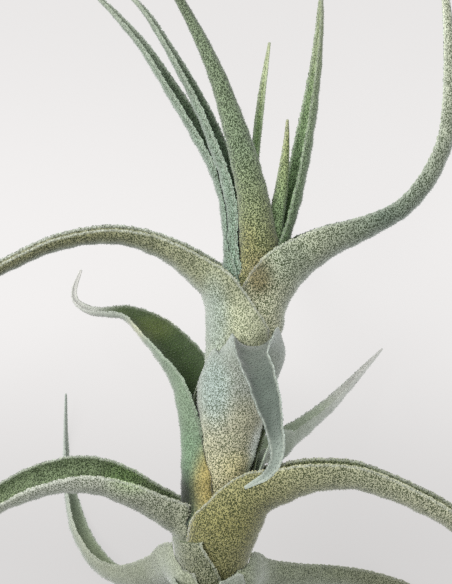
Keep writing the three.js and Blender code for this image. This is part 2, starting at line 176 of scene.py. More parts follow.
@dataclass(frozen=True)
class StemAxis:
    """The bowed line that the leaves grow from: x = offset + lean * y + bow * y^2."""

    bottom: float = -131.0
    top: float = -9.0
    foot_radius: float = 3.1
    tip_radius: float = 0.7
    taper_from: float = -50.0
    offset: float = 5.7
    lean: float = 0.165
    bow: float = 0.0006
    sag_from: float = -60.0
    sag: float = 0.0012

    def centre(self, y: np.ndarray) -> np.ndarray:
        """Points on the axis at heights y."""
        below = np.maximum(0.0, self.sag_from - y)
        return np.stack([self.offset + self.lean * y + self.bow * y * y, y, -self.sag * below**2], -1)

    def direction(self, y: np.ndarray) -> np.ndarray:
        """Unit directions of the axis at heights y."""
        below = np.maximum(0.0, self.sag_from - y)
        return unit(np.stack([self.lean + 2 * self.bow * y, np.ones_like(y), 2 * self.sag * below], -1))

    def radius(self, y: Numbers) -> Numbers:
        """The stem's radius at heights y."""
        return lerp(self.foot_radius, self.tip_radius, smoothstep(y, self.taper_from, self.top))


class Face(Enum):
    """The two faces of a leaf: outer is its back, inner the floor of its channel."""

    OUTER = 1
    INNER = -1


@dataclass(frozen=True)
class Complexion:
    """A leaf's colours as seen, from 0 to 255, and how they change over it.

    Attributes:
        sheath: At the foot.
        base: Where the blade leaves the stem.
        middle: Nearly half way along the blade.
        tip: At its tip.
        channel: How much of each colour the inner face keeps: partly its own darker green, partly painted
            shade, and painted light where it is above 1.
        grain: How dark the pits between the scales are, at the same four places.
        painted_sheen: Painted sheen: how much paler and bluer the flanks are made, as grazing light on the
            scales would show them.
        hem: How pale the margins are.
    """

    sheath: Seen
    base: Seen
    middle: Seen
    tip: Seen
    channel: Triple = (0.62, 0.74, 0.54)
    grain: tuple[float, float, float, float] = (1.0, 1.0, 1.0, 0.8)
    painted_sheen: float = 0.5
    hem: float = 0.4


@dataclass(frozen=True)
class ColourAndLightPatch:
    """A soft patch of another colour on one leaf. Some are the leaf's own colours, others painted light and
    painted shade.

    Attributes:
        at: Its middle, in the plant's axes.
        reach: Half its size.
        colour: Its colour as seen, from 0 to 255.
        amount: How far it covers the leaf's own colour.
    """

    at: Triple
    reach: Triple
    colour: Seen
    amount: float = 0.8


@dataclass(frozen=True)
class Leaf:
    """One leaf, as the solid of the same name has it.

    Attributes:
        name: The solid's node.
        node: Height of the leaf's foot on the stem.
        azimuth: Side of the stem it grows from, from 0 at the right through 90 at the front.
        sheath: Height of the sheath.
        mouth: Radius of the sheath's top.
        flare: 1 for a sheath like a cone, less for a bulb.
        wrap: Half the angle that the sheath clasps, from its foot to its mouth.
        fold: Half the angle of the blade's channel, from its base to its tip.
        roll: Turn of the channel towards the front, likewise.
        blade: Points on the blade's midrib, each with half the width round its channel.
        look: The leaf's colours.
        colour_and_light_patches: Patches of other colours; some are the leaf's own colours, others painted
            light and painted shade.
    """

    name: str
    node: float
    azimuth: float
    sheath: float
    mouth: float
    flare: float
    wrap: list[float]
    fold: list[float]
    roll: list[float]
    blade: list[list[float]]
    look: Complexion
    colour_and_light_patches: tuple[ColourAndLightPatch, ...] = ()

    @property
    def withered(self) -> bool:
        """True for a dry leaf at the stem's foot, which has shed its scales."""
        return self.name.startswith("dry_")


CROWN_GREEN = Complexion(
    (146, 155, 110), (135, 159, 110), (139, 162, 121), (146, 152, 106), (0.8, 0.9, 0.74), painted_sheen=0.25)
CROWN_BLUE = Complexion(
    (108, 118, 92), (122, 142, 124), (122, 138, 120), (113, 121, 103), (0.5, 0.58, 0.46),
    (1.2, 1.2, 1.1, 0.8), painted_sheen=0.3)
LOW_GREEN = Complexion((150, 148, 116), (140, 146, 120), (136, 142, 116), (132, 130, 108))
DRY_BROWN = Complexion(
    (140, 122, 92), (150, 132, 100), (162, 144, 112), (150, 128, 98), (0.8, 0.8, 0.8),
    (0.3, 0.3, 0.3, 0.3))

LEAVES = [
    Leaf(
        "bud_leaf_small", -14, 200, 14, 2.2, 1, [150, 70], [80, 70], [0, 0],
        [[10.5, 10, -1.5, 2.2], [11.7, 18, -2, 1.8], [12.6, 25, -2, 1.2], [13.4, 30.5, -2, 0.3]],
        CROWN_GREEN,
    ),
    Leaf(
        "bud_leaf", -17, 60, 17, 3, 1, [150, 80], [80, 70], [0, 0],
        [[12, 10.5, 2, 3], [13.2, 18.5, 2, 2.6], [14.4, 26.5, 1.5, 2], [15.1, 35, 1, 1.1],
         [15.4, 43, 1, 0.3]],
        Complexion(
            (124, 142, 92), (126, 150, 106), (138, 160, 116), (146, 146, 98), (0.5, 0.58, 0.46),
            (1.1, 1.1, 1.1, 1.0), painted_sheen=0.2),
    ),
    Leaf(
        "crown_leaf_back", -20, 285, 18, 3.6, 1, [155, 90], [80, 70], [0, 0],
        [[5.5, 12, -4.5, 2.2], [5.8, 23, -5, 1.5], [7.3, 33.5, -5, 1.3], [8.4, 43.5, -5, 1.2],
         [9.5, 52.5, -5.5, 0.9], [11, 63, -6.5, 0.3]],
        CROWN_GREEN,
    ),
    Leaf(
        "crown_leaf_left_inner", -24, 180, 22, 4.2, 1, [155, 95], [85, 75], [20, 25],
        [[1, 10.5, 0, 5.2], [0.9, 20, 0, 5.4], [-0.8, 28.5, 0, 5.2], [-3.6, 36.5, -1, 4.6],
         [-6.9, 45, -2, 3.8], [-11, 53.5, -3, 3], [-15.5, 62, -5, 2.1], [-21, 71, -8, 1.4],
         [-27, 78, -12, 0.3]],
        CROWN_BLUE,
    ),
    Leaf(
        "crown_leaf_right", -27, 355, 23, 5, 1, [155, 100], [85, 75], [20, 10],
        [[14.6, 12, -1, 5], [17.2, 20, -2, 4.9], [19.3, 28.5, -2, 4.8], [21.1, 38, -2, 4.6],
         [22.5, 47.5, -3, 3.8], [23.6, 58, -4, 2.7], [24.2, 68.5, -6, 1.6], [24.3, 79.5, -9, 0.3]],
        Complexion(
            (110, 126, 84), (104, 128, 88), (122, 140, 108), (128, 134, 100), (0.8, 0.9, 0.74),
            (1.1, 1.1, 1.1, 0.8), painted_sheen=0.25),
    ),
    Leaf(
        "crown_leaf_left_outer", -31, 188, 26, 5.2, 1, [155, 105], [80, 75], [20, 20],
        [[0.4, 9.5, -1, 5.6], [-0.2, 18.5, -2, 5.3], [-2.2, 27.5, -3, 4.9], [-6, 35.5, -4, 4.6],
         [-10.8, 44, -5, 4.2], [-15.9, 52.5, -6, 3.5], [-21.4, 61.5, -8, 2.6],
         [-28.6, 70.5, -11, 1.6], [-37, 79.5, -15, 0.3]],
        CROWN_BLUE,
    ),
    Leaf(
        "crown_leaf_front", -34, 95, 28, 5.7, 1, [160, 115], [110, 95], [0, 0],
        [[7.6, 7.5, 5.6, 9.8], [7.1, 16, 6.7, 8], [6.1, 24.5, 7.4, 6.6], [3.7, 34.5, 7.6, 5.6],
         [0.7, 44.5, 6.8, 4.4], [-2.7, 54.5, 5, 3.3], [-7.6, 65.5, 1, 2.3], [-13.5, 76.5, -5, 1.4],
         [-21, 87.5, -13, 0.3]],
        Complexion(
            (126, 122, 84), (149, 148, 98), (120, 135, 106), (93, 103, 80), (0.5, 0.58, 0.46),
            (1.6, 1.6, 1.5, 1.2), painted_sheen=0.2),
        (ColourAndLightPatch((8, 6, 9), (8, 5, 6), (118, 104, 80), 0.6),
         ColourAndLightPatch((5, 11, 9), (4, 7, 6), (146, 138, 88), 0.5)),
    ),
    Leaf(
        "crown_leaf_floor", -38, 268, 27, 6.5, 1, [160, 115], [85, 75], [0, 0],
        [[5.5, -2, -13, 8], [6, 5, -22, 6.5], [6.5, 13, -32, 5.3], [6.5, 22, -41, 4.2],
         [5.5, 31, -46.8, 3.1], [3.5, 41, -47.8, 1.9], [1.5, 51, -45, 0.3]],
        LOW_GREEN,
    ),
    Leaf(
        "upper_right_leaf", -42, 4, 24, 6.4, 1,
        [160, 155, 147, 132], [134, 112, 104, 101, 99, 97, 95], [4, 0, -3, 0],
        [[13.3, -9.5, 0, 14.4], [14.8, -3, 0.5, 15.9], [19, 3.2, 1, 14.8], [25.6, 8.8, 2, 11],
         [33.6, 13, 3, 7.9], [41.3, 17.1, 3, 5.9], [47.2, 21.6, 4, 5.4], [52.5, 28.8, 4, 5.4],
         [55.7, 36.5, 4, 5], [56.9, 45, 4, 4.6], [57, 56.5, 3, 3.9], [55.9, 70, 1, 2.4],
         [53.5, 84, -3, 0.3]],
        Complexion(
            (210, 210, 192), (206, 204, 174), (107, 119, 104), (186, 188, 166),
            (0.5, 0.58, 0.46), (1.2, 1.35, 1.2, 1.0), painted_sheen=0.7),
        (ColourAndLightPatch((8, 4, 8), (4.5, 6, 8), (108, 98, 62), 0.9),
         ColourAndLightPatch((15, 8, 6), (8, 7, 9), (124, 138, 120), 0.4)),
    ),
    Leaf(
        "upper_left_leaf", -47, 178, 35, 8.2, 0.9,
        [160, 160, 160, 156], [100, 100, 98, 98, 98, 95], [0, 4, 9, 10],
        [[-4.7, -2.8, 1, 15], [-8.4, 2.6, 1.5, 11], [-14.6, 7.8, 2.5, 7.9], [-21.4, 11.1, 3, 6.3],
         [-30, 12.6, 4, 5.2], [-41, 11, 4, 4.6], [-49, 8, 3, 4.2], [-56.5, 4.4, 2, 3.9],
         [-66.5, -1.2, 1, 3.6], [-77.8, -9.5, -2, 3], [-88, -19.5, -6, 2], [-95, -31, -11, 0.3]],
        Complexion(
            (164, 172, 160), (154, 157, 130), (112, 112, 82), (102, 100, 74),
            (0.6, 0.66, 0.56), (0.95, 0.85, 1.2, 1.0), painted_sheen=0.6, hem=0.9),
        # Painted highlight on the bulge of the sheath, and painted light on its lit left flank.
        (ColourAndLightPatch((7, -8, 8), (8, 8, 8), (196, 198, 168), 0.85),
         ColourAndLightPatch((-3, -7, 7), (4.5, 12, 9), (150, 162, 154), 0.7)),
    ),
    Leaf(
        "front_leaf", -53, 70, 29, 9.1, 0.72,
        [160, 156, 136, 96], [80, 77, 76, 75, 72, 68, 65, 62, 60], [1, -7, -5, 0, 0, 0],
        [[7.4, -19, 10.2, 12.2], [7.6, -13.9, 14.8, 7.8], [6.7, -17, 24, 5.2],
         [8.5, -21.8, 33, 4.6], [10.1, -27, 39, 3.8], [11.4, -32.2, 43, 2.6],
         [11.9, -37.8, 45.5, 1.8], [9.8, -42, 46, 1.2], [4.4, -45.3, 45, 0.3]],
        Complexion(
            (190, 182, 142), (152, 156, 146), (110, 120, 110), (120, 128, 119),
            (0.48, 0.50, 0.49), (1.25, 0.85, 0.0, 0.0), painted_sheen=0.5),
        (ColourAndLightPatch((5, -34, 8), (6, 8, 8), (160, 156, 130), 0.6),
         # Painted light on the lit left flank of the sheath.
         ColourAndLightPatch((-3, -24, 7), (5, 10, 9), (150, 164, 158), 0.8),
         # Painted light over the shade on the right flank, in the narrow gap to the leaves beside it.
         ColourAndLightPatch((7.5, -40, 2.5), (3, 8, 4), (226, 229, 224), 0.9),
         ColourAndLightPatch((4, -44, 8), (6, 5, 8), (200, 190, 142), 0.7)),
    ),
    Leaf(
        "middle_back_leaf", -58.5, 262, 28, 9.8, 0.8, [160, 120, 90, 80], [80, 75], [0, 0],
        [[1, -22, -17, 8], [1, -19, -27, 6.5], [1, -23, -37, 5.2], [0, -33, -44, 3.9],
         [-1, -45, -46.5, 2.3], [-1, -57, -45, 0.3]],
        LOW_GREEN,
    ),
    Leaf(
        "middle_right_leaf", -65, 320, 24, 10.2, 0.7, [160, 110, 72, 55], [75, 70], [0, 0],
        [[12.4, -43, -15, 9.6], [16.9, -39.3, -20, 7.2], [22.1, -35.3, -25, 5.1],
         [27.5, -30.7, -29.5, 3.7], [33.6, -24.3, -35, 2.1], [41.7, -15.2, -41, 0.3]],
        Complexion(
            # Its sheath and base are lighter, and its inner face lighter still, as painted light against
            # the shade in the gap beside the front leaf.
            (146, 156, 136), (140, 150, 132), (154, 160, 147), (204, 202, 198),
            (1.0, 1.06, 0.96), (0.7, 0.4, 0.1, 0.0), painted_sheen=0.4),
    ),
    Leaf(
        "middle_left_leaf", -71, 217, 14, 9, 0.6,
        [160, 150, 145, 142], [150, 146, 133, 113, 86, 70, 66, 74, 88, 86, 84, 82, 80],
        [0, 0, 0, 2, 5, 9, 14, 19, 24, 23, 22, 21, 20],
        [[-9.5, -50, -4, 14.8], [-9.5, -44, -3.3, 13.7], [-9.8, -37, -2.8, 10.4],
         [-10.5, -30.3, -4.4, 9.7], [-11.7, -24, -7.2, 10], [-14.3, -18.5, -10, 9.8],
         [-19.6, -11.6, -13.5, 7.5], [-25, -6.8, -17, 4], [-30.5, -5.9, -20, 2.4],
         [-34.8, -5.5, -24, 1.8], [-38.9, -3.1, -27.5, 1.1], [-39.9, 0.3, -30, 0.8],
         [-38.2, 5.8, -32, 0.3]],
        Complexion(
            (112, 122, 90), (106, 128, 100), (118, 132, 112), (178, 174, 172),
            # The very dark inner face is partly its own darker green, partly painted shade in the channel.
            (0.18, 0.25, 0.10), (1.0, 0.9, 0.5, 0.0), painted_sheen=0.08),
        (ColourAndLightPatch((-4.6, -48, 6), (4.4, 10, 8), (170, 152, 92), 0.85),
         ColourAndLightPatch((-19, -9, -12), (7, 4, 9), (176, 172, 140), 0.8),
         # Painted shadow: a dark patch low on the left side of the sheath.
         ColourAndLightPatch((-10.8, -53, 0), (4.8, 11, 12), (20, 26, 4), 1.0),
         ColourAndLightPatch((-10, -40, 2), (4, 7, 9), (108, 132, 104), 0.6)),
    ),
    Leaf(
        "lower_right_leaf", -77, 6, 17.5, 9.8, 0.7,
        [160, 155, 145, 126], [115, 105, 100, 100, 95], [0, 5, 8, 16, 16],
        [[10.2, -54.5, 1.2, 16], [15.2, -51.8, 1.8, 12.4], [19.8, -49.9, 2.4, 11.1],
         [25.5, -48.6, 2.8, 9.5], [32.1, -48.6, 2.8, 8.5], [38.8, -50.5, 2, 7.7],
         [45.4, -53.2, 1, 7.2], [51.9, -56.4, 0, 6.9], [58.5, -60.8, -2, 6.3], [66, -67, -5, 5.2],
         [75.5, -77, -10, 3.4], [84, -90, -17, 0.3]],
        Complexion(
            (138, 135, 98), (131, 127, 80), (163, 164, 137), (157, 155, 136),
            (0.5, 0.56, 0.44), (1.0, 1.3, 1.3, 1.0), painted_sheen=0.3, hem=0.7),
    ),
    Leaf(
        "lower_left_leaf", -83, 192, 21, 10.4, 0.7,
        [160, 135, 108, 80], [107, 105, 98, 98], [-26, -18, 0, 8, 12, 8, 4],
        [[-13.5, -59.7, -1.5, 12], [-19.2, -55.8, -1, 10], [-25, -52.5, 0, 9.8],
         [-32, -49.5, 1, 9.5], [-39, -48.7, 1, 8.7], [-45.5, -49.6, 1, 7.7], [-51, -51.5, 0, 6.9],
         [-57, -54.2, -1, 6], [-66, -59.6, -4, 5.5], [-76, -68, -8, 4.6], [-85, -79, -13, 3],
         [-91, -92, -19, 0.3]],
        Complexion(
            (132, 132, 104), (132, 134, 112), (164, 166, 154), (142, 144, 126),
            (0.42, 0.53, 0.33), (1.1, 1.2, 1.0, 0.8), painted_sheen=0.35, hem=0.7),
        (ColourAndLightPatch((-24, -46, 2), (8, 5, 8), (160, 182, 128), 0.7),),
    ),
    Leaf(
        "floor_left_leaf", -94, 222, 19, 9.6, 0.7, [160, 105], [85, 75], [0, 0],
        [[-16, -74.5, -15, 9], [-24.5, -76.5, -25, 7], [-33, -74.2, -34, 5.6],
         [-38.9, -67.6, -41.5, 4.7], [-41.8, -60, -45.8, 3.7], [-43, -51, -47.6, 2.2],
         [-43.4, -42, -47.2, 1], [-43, -27.3, -43.5, 0.3]],
        Complexion(
            (146, 146, 120), (142, 146, 126), (142, 146, 128), (140, 148, 142),
            (0.7, 0.78, 0.66), (0.8, 0.7, 0.3, 0.1)),
    ),
    Leaf(
        "floor_right_leaf", -98, 320, 20, 9.4, 0.7, [160, 105], [85, 75], [0, 0],
        [[8, -76, -17, 9], [17, -77, -28, 7.2], [27, -77.5, -38, 5.8], [38, -79, -45.5, 4.6],
         [50, -82, -47.2, 3.2], [63, -88, -43, 0.3]],
        LOW_GREEN,
    ),
    Leaf(
        "low_front_leaf", -102, 95, 22, 9.6, 0.7, [160, 110], [85, 75], [0, 0],
        [[-6, -76, 16, 9], [-6.5, -75, 26, 7.2], [-6.5, -80, 35, 6], [-5, -89, 41, 4.8],
         [-2, -100, 43, 3.3], [3, -111, 41, 1.9], [9, -120, 37, 0.3]],
        LOW_GREEN,
    ),
    Leaf(
        "low_left_leaf", -107, 190, 20, 9.2, 0.7, [160, 105], [85, 80], [0, 10],
        [[-20, -84, -4, 9.5], [-29, -81.5, -5, 7.5], [-39, -84, -7, 6.2], [-48, -91, -10, 5],
         [-55, -101, -14, 3.6], [-59, -112, -19, 2], [-60, -123, -25, 0.3]],
        LOW_GREEN,
    ),
    Leaf(
        "low_back_leaf", -112, 292, 18, 8.6, 0.7, [160, 100], [80, 75], [0, 0],
        [[1, -95, -20, 8], [5, -95, -31, 6.4], [9, -100, -40, 5.2], [13, -109, -45.5, 3.9],
         [17, -119, -46.5, 2.3], [20, -130, -43, 0.3]],
        LOW_GREEN,
    ),
    Leaf(
        "dry_leaf_front", -116.5, 120, 13, 7.6, 0.7, [160, 105], [70, 60], [0, 30],
        [[-13, -97, 9, 6], [-17, -93, 15, 4.4], [-22, -92, 20, 2.6], [-27, -95, 23, 0.3]],
        DRY_BROWN,
    ),
    Leaf(
        "dry_leaf_right", -120.5, 350, 13, 7.6, 0.7, [160, 105], [70, 60], [0, -30],
        [[7, -102, -7, 5.6], [13, -99, -9, 4.2], [19, -100, -12, 2.5], [24, -105, -15, 0.3]],
        DRY_BROWN,
    ),
]


@dataclass
class Marks:
    """Where each vertex of a leaf lies on it.

    Attributes:
        span: How far along, in spans of the midrib.
        share: How far across, from -1 to 1 at the margins.
        face: 1 for the outer face, -1 for the inner.
        facing: The direction it faces.
    """

    span: np.ndarray
    share: np.ndarray
    face: np.ndarray
    facing: np.ndarray


class LeafForm:
    """A leaf's midrib, frames and sections at fine steps, and its two faces between them."""

    # The midrib: spans in the sheath, steps in a span, and where its sections swing free of the stem.
    SHEATH_SPANS = 3
    STEPS = 12
    SWING_FROM = SHEATH_SPANS - 1.5
    SWING_TO = SHEATH_SPANS + 1

    # The sheet's thickness, at most a share of the channel's radius, its cap at the tip, and the
    # clearance that its neighbours leave it.
    CLEARANCE = 0.3
    SHEATH_THICKNESS = 0.7
    BLADE_THICKNESS = 1.5
    TIP_THICKNESS = 0.7
    MARGIN_THICKNESS = 0.3
    THICKEST = 1.6
    TIP_CAP = 0.15

    # Limits of a section: the most that half of it clasps, the least distance of a face from the
    # channel's axis, and the radius under which its margins ripple no more.
    MOST_WRAP = math.radians(174)
    LEAST_REACH = 0.04
    TIGHTEST = 0.5

    # Slight waves. A row has a wave's height and how fast it turns along and across the leaf, and
    # the quilt is one wave along times one across.
    PHASES = 8
    FULL_WAVE_RADIUS = 3
    MARGIN_WAVE = 0.13
    MARGIN_POWER = 6
    RIPPLES = ((0.5, 2.1, 1.5), (0.5, 3.7, -2.3))
    WAVE = 0.1
    QUILT = (0.55, 2.3)
    SWELLS = ((0.7, 1.3, 1.7), (0.4, 0.9, -5.1))

    # The colours: where each of a leaf's four sets in, the painted sheen of flanks, patch edges, and where
    # the channel's painted shade ends.
    STOPS = (-1, 0.02, 0.45, 1)
    # Painted sheen: the pale blue-grey that the flanks are mixed towards.
    PAINTED_SHEEN_TONE = (170, 178, 172)
    FLANK = (0.05, 0.85)
    FLANK_GRAIN = 0.55
    PATCH_EDGE = (0.35, 1.25)
    # Where the inner face's darker colour, partly painted shade, fades out towards the tip.
    CHANNEL_SHADE_END = (0.64, 0.78)

    def __init__(self, leaf: Leaf, stem: StemAxis, rng: np.random.Generator) -> None:
        """Works out the stations of a leaf.

        Args:
            leaf: The leaf's sizes.
            stem: The axis it grows from.
            rng: Source of the phases of its slight waves.
        """
        self.leaf = leaf
        turn = math.radians(leaf.azimuth)
        outward = np.array([math.cos(turn), 0.0, math.sin(turn)])
        share = np.linspace(0, 1, self.SHEATH_SPANS + 1)
        foot = stem.radius(leaf.node) + self.CLEARANCE + self.SHEATH_THICKNESS / 2
        radius = lerp(foot, leaf.mouth, share**leaf.flare)
        base = stem.centre(leaf.node + leaf.sheath * share) + outward * radius[:, None]
        wrap = np.radians(along(leaf.wrap, share))
        blade = np.array(leaf.blade, float)
        out = np.linspace(0, 1, len(blade))
        fold = np.radians(along(leaf.fold, out))
        roll = np.radians(along(leaf.roll, out)) * np.sign(outward[0])
        points = np.vstack([base, blade[:, :3]])
        sections = np.vstack([
            np.stack([radius, wrap, np.zeros_like(radius)], -1),
            np.stack([blade[:, 3] / fold, fold, roll], -1)])
        self.spans = len(points) - 1
        self.at = np.linspace(0, self.spans, self.spans * self.STEPS + 1)
        self.midrib, slope = spline(points, self.at)
        self.radius, self.half_angle, rolls = spline(sections, self.at)[0].T
        freed = smoothstep(self.at, self.SWING_FROM, self.SWING_TO)[:, None]
        self.tangent = unit(lerp(stem.direction(self.midrib[:, 1]), unit(slope), freed))
        self.normal = turned(self._carried(-outward), self.tangent, rolls)
        self.thickness = self._thicknesses()
        steps = np.linalg.norm(np.diff(self.midrib, axis=0), axis=1)
        self.length = np.concatenate([[0], np.cumsum(steps)])
        self.phases = rng.uniform(0, 2 * math.pi, self.PHASES)

    def _carried(self, start: np.ndarray) -> np.ndarray:
        """Carries a direction along the midrib without twist.

        Args:
            start: The direction at the foot.

        Returns:
            The direction at each station.
        """
        normal, before, found = Vector(start), None, []
        for row in self.tangent:
            tangent = Vector(row)
            if before is not None:
                normal.rotate(before.rotation_difference(tangent))
            normal = (normal - tangent * normal.dot(tangent)).normalized()
            found.append(tuple(normal))
            before = tangent
        return np.array(found)

    def _thicknesses(self) -> np.ndarray:
        """Works out how thick the middle of the sheet is.

        Returns:
            The thickness at each station, least at the foot and tip.
        """
        blade_share = np.clip(self.outness(self.at), 0, 1)
        sheath_share = np.clip(self.at / self.SHEATH_SPANS, 0, 1)
        thick = lerp(self.SHEATH_THICKNESS, self.BLADE_THICKNESS, sheath_share**2)
        thick = lerp(thick, self.TIP_THICKNESS, blade_share)
        return np.minimum(thick, self.THICKEST * self.radius)

    def outness(self, span: np.ndarray) -> np.ndarray:
        """How far out: -1 at the foot, 0 at the sheath's mouth and 1 at the tip."""
        blade = (span - self.SHEATH_SPANS) / (self.spans - self.SHEATH_SPANS)
        return np.where(span < self.SHEATH_SPANS, span / self.SHEATH_SPANS - 1, blade)

    def _waves(
        self, rows: tuple[Triple, ...], down: np.ndarray, over: np.ndarray, first: int
    ) -> np.ndarray:
        """The sum of a few waves.

        Args:
            rows: The height of each, and how fast it turns along and across the leaf.
            down: How far along the leaf.
            over: How far across it.
            first: Number of the first one's phase.

        Returns:
            Their sum.
        """
        return sum(
            height * np.sin(down * ahead + over * aside + self.phases[first + i])
            for i, (height, ahead, aside) in enumerate(rows))

    def surface(
        self, span: np.ndarray, share: np.ndarray, face: np.ndarray,
        lift: float = 0.0, widen: float = 0.0,
    ) -> tuple[np.ndarray, np.ndarray, np.ndarray]:
        """Places on the leaf.

        Args:
            span: How far along, in spans of the midrib.
            share: How far across, from -1 to 1 at the margins.
            face: 1 for the outer face, -1 for the inner.
            lift: Height above the face.
            widen: How far the margins are pushed out.

        Returns:
            The points, the directions they face and the leaf's directions there.
        """
        last = len(self.at) - 1
        k = np.clip(span * self.STEPS, 0, last - 0.001)
        i = k.astype(int)
        w = k - i
        middle, normal, tangent = (
            lerp(r[i], r[i + 1], w[:, None]) for r in (self.midrib, self.normal, self.tangent))
        radius, half_angle, thick = (
            lerp(r[i], r[i + 1], w) for r in (self.radius, self.half_angle, self.thickness))
        length = np.interp(k, np.arange(len(self.at)), self.length)
        size = np.clip(radius / self.FULL_WAVE_RADIUS, 0, 1)
        ripple = self.MARGIN_WAVE * size * self._waves(self.RIPPLES, length, share, 0)
        rim = np.abs(share) ** self.MARGIN_POWER / np.maximum(radius, self.TIGHTEST)
        angle = np.minimum(half_angle + ripple * rim + widen / radius, self.MOST_WRAP) * share
        (ahead, aside), first = self.QUILT, len(self.RIPPLES)
        quilt = (np.sin(length * ahead + self.phases[first])
                 * np.sin(angle * aside + self.phases[first + 1]))
        wave = self.WAVE * size * (quilt + self._waves(self.SWELLS, length, angle, first + 2))
        half = lerp(thick, np.minimum(self.MARGIN_THICKNESS, thick), share**2) / 2
        reach = np.maximum(radius + face * (half + lift) + wave, self.LEAST_REACH)
        across = np.cross(tangent, normal)
        radial = -normal * np.cos(angle)[:, None] + across * np.sin(angle)[:, None]
        point = middle + normal * radius[:, None] + radial * reach[:, None]
        return point, radial * face[:, None], tangent

    def rings(self, across: int, every: int = 1, grow: float = 0.0) -> tuple[np.ndarray, list, Marks]:
        """The leaf as closed rings, out along its outer face and back along its inner one.

        Args:
            across: Steps from margin to margin.
            every: Stations from one ring to the next.
            grow: How much larger than life, for the room that its neighbours leave it.

        Returns:
            The vertices, the faces and the vertices' marks.
        """
        at = np.append(self.at[:-1:every], self.at[-1])
        around = 2 * (across + 1)
        one_way = np.linspace(-1, 1, across + 1)
        share = np.tile(np.concatenate([one_way, one_way[::-1]]), len(at))
        face = np.tile(np.repeat([Face.OUTER.value, Face.INNER.value], across + 1), len(at))
        span = np.repeat(at, around)
        points, facing, _ = self.surface(span, share, face, grow, grow)
        points[:around] -= self.tangent[0] * grow
        tip = self.midrib[-1] + self.tangent[-1] * (self.TIP_CAP + grow)
        faces = loft_faces(len(at), around)
        faces += [(j + 1, around - 2 - j, around - 1 - j, j) for j in range(across)]
        apex, last = len(at) * around, (len(at) - 1) * around
        faces += [(last + (j + 1) % around, last + j, apex) for j in range(around)]
        marks = Marks(
            np.append(span, at[-1]), np.append(share, 0.0), np.append(face, 1),
            np.vstack([facing, self.tangent[-1]]))
        return np.vstack([points, tip]), faces, marks

    def width(self, span: np.ndarray) -> np.ndarray:
        """The leaf's width measured round its channel."""
        k, at = span * self.STEPS, np.arange(len(self.at))
        return 2 * np.interp(k, at, self.radius) * np.interp(k, at, self.half_angle)

    def way(self, span: np.ndarray) -> np.ndarray:
        """How far along the leaf's length, from 0 at the foot to 1 at the tip."""
        return np.interp(span, self.at, self.length) / self.length[-1]

    def flank(self, facing: np.ndarray) -> np.ndarray:
        """0 where the leaf faces away from the ground, 1 on its flanks and below."""
        return 1 - smoothstep(facing[:, 2], *self.FLANK)

    def grain(self, span: np.ndarray, facing: np.ndarray) -> np.ndarray:
        """How dark the pits between the scales look, from 0 to 1."""
        grain = np.interp(self.outness(span), self.STOPS, self.leaf.look.grain)
        return grain * lerp(1.0, self.FLANK_GRAIN, self.flank(facing))

    def tint(
        self, points: np.ndarray, span: np.ndarray, face: np.ndarray, facing: np.ndarray
    ) -> np.ndarray:
        """The leaf's colour at places on it, as linear light, painted sheen and painted shade included.

        Args:
            points: The places.
            span: How far along they are, in spans of the midrib.
            face: 1 for the outer face, -1 for the inner.
            facing: The directions the leaf faces there.

        Returns:
            A colour for each.
        """
        look, out = self.leaf.look, self.outness(span)
        rows = np.array([linear(c) for c in (look.sheath, look.base, look.middle, look.tip)])
        colour = np.stack([np.interp(out, self.STOPS, column) for column in rows.T], -1)
        # Patches: some are the leaf's own colours, others painted light and painted shade.
        for one_patch in self.leaf.colour_and_light_patches:
            away = np.linalg.norm((points - np.array(one_patch.at)) / np.array(one_patch.reach), axis=1)
            amount = one_patch.amount * (1 - smoothstep(away, *self.PATCH_EDGE))[:, None]
            colour = lerp(colour, linear(one_patch.colour), amount)
        # Painted sheen: flanks that face sideways or down are made paler and bluer.
        painted_sheen = (look.painted_sheen * self.flank(facing))[:, None]
        outer = lerp(colour, linear(self.PAINTED_SHEEN_TONE), painted_sheen)
        # The inner face keeps a share of each colour, partly its own darker green and partly painted shade,
        # which ends towards the tip.
        channel = lerp(np.array(look.channel), 1.0, smoothstep(out, *self.CHANNEL_SHADE_END)[:, None])
        return np.where(face[:, None] < 0, colour * channel, outer)


# Mesh and node helpers


@dataclass
class Place:
    """Where the plant's own axes stand in the frame, in millimetres."""

    shift: np.ndarray

    @classmethod
    def found(cls, leaves: list[Leaf], low: Vector, high: Vector) -> "Place":
        """The place at which the furthest leaf tips meet the frame's box."""
        tips = np.array([leaf.blade[-1][:3] for leaf in leaves])
        return cls(np.array([low.x / MM - tips[:, 0].min(), high.y / MM - tips[:, 1].max(), STEM_HEIGHT]))

    def metres(self, points: np.ndarray) -> np.ndarray:
        """Points in the plant's axes, as metres in the frame."""
        return (points + self.shift) * MM


def new_object(name: str, points: np.ndarray, faces: list, uv: np.ndarray | None = None) -> Piece:
    """Links a new mesh object.

    Args:
        name: The piece's name.
        points: Its vertices, in metres.
        faces: Its faces, as rows of vertex numbers.
        uv: A place on the bake's map for each corner of each face.

    Returns:
        The object.
    """
    mesh = bpy.data.meshes.new(name)
    mesh.from_pydata(points.tolist(), [], faces)
    if uv is not None:
        mesh.uv_layers.new(name=MAP).uv.foreach_set("vector", uv.astype(np.float32).ravel())
    mesh.update()
    piece = bpy.data.objects.new(name, mesh)
    bpy.context.scene.collection.objects.link(piece)
    return piece


def finished(piece: Piece, material: Material) -> Piece:
    """Gives a piece smooth faces of one material.

    Args:
        piece: The object.
        material: The material.

    Returns:
        The same object.
    """
    piece.data.shade_smooth()
    piece.data.materials.append(material)
    return piece


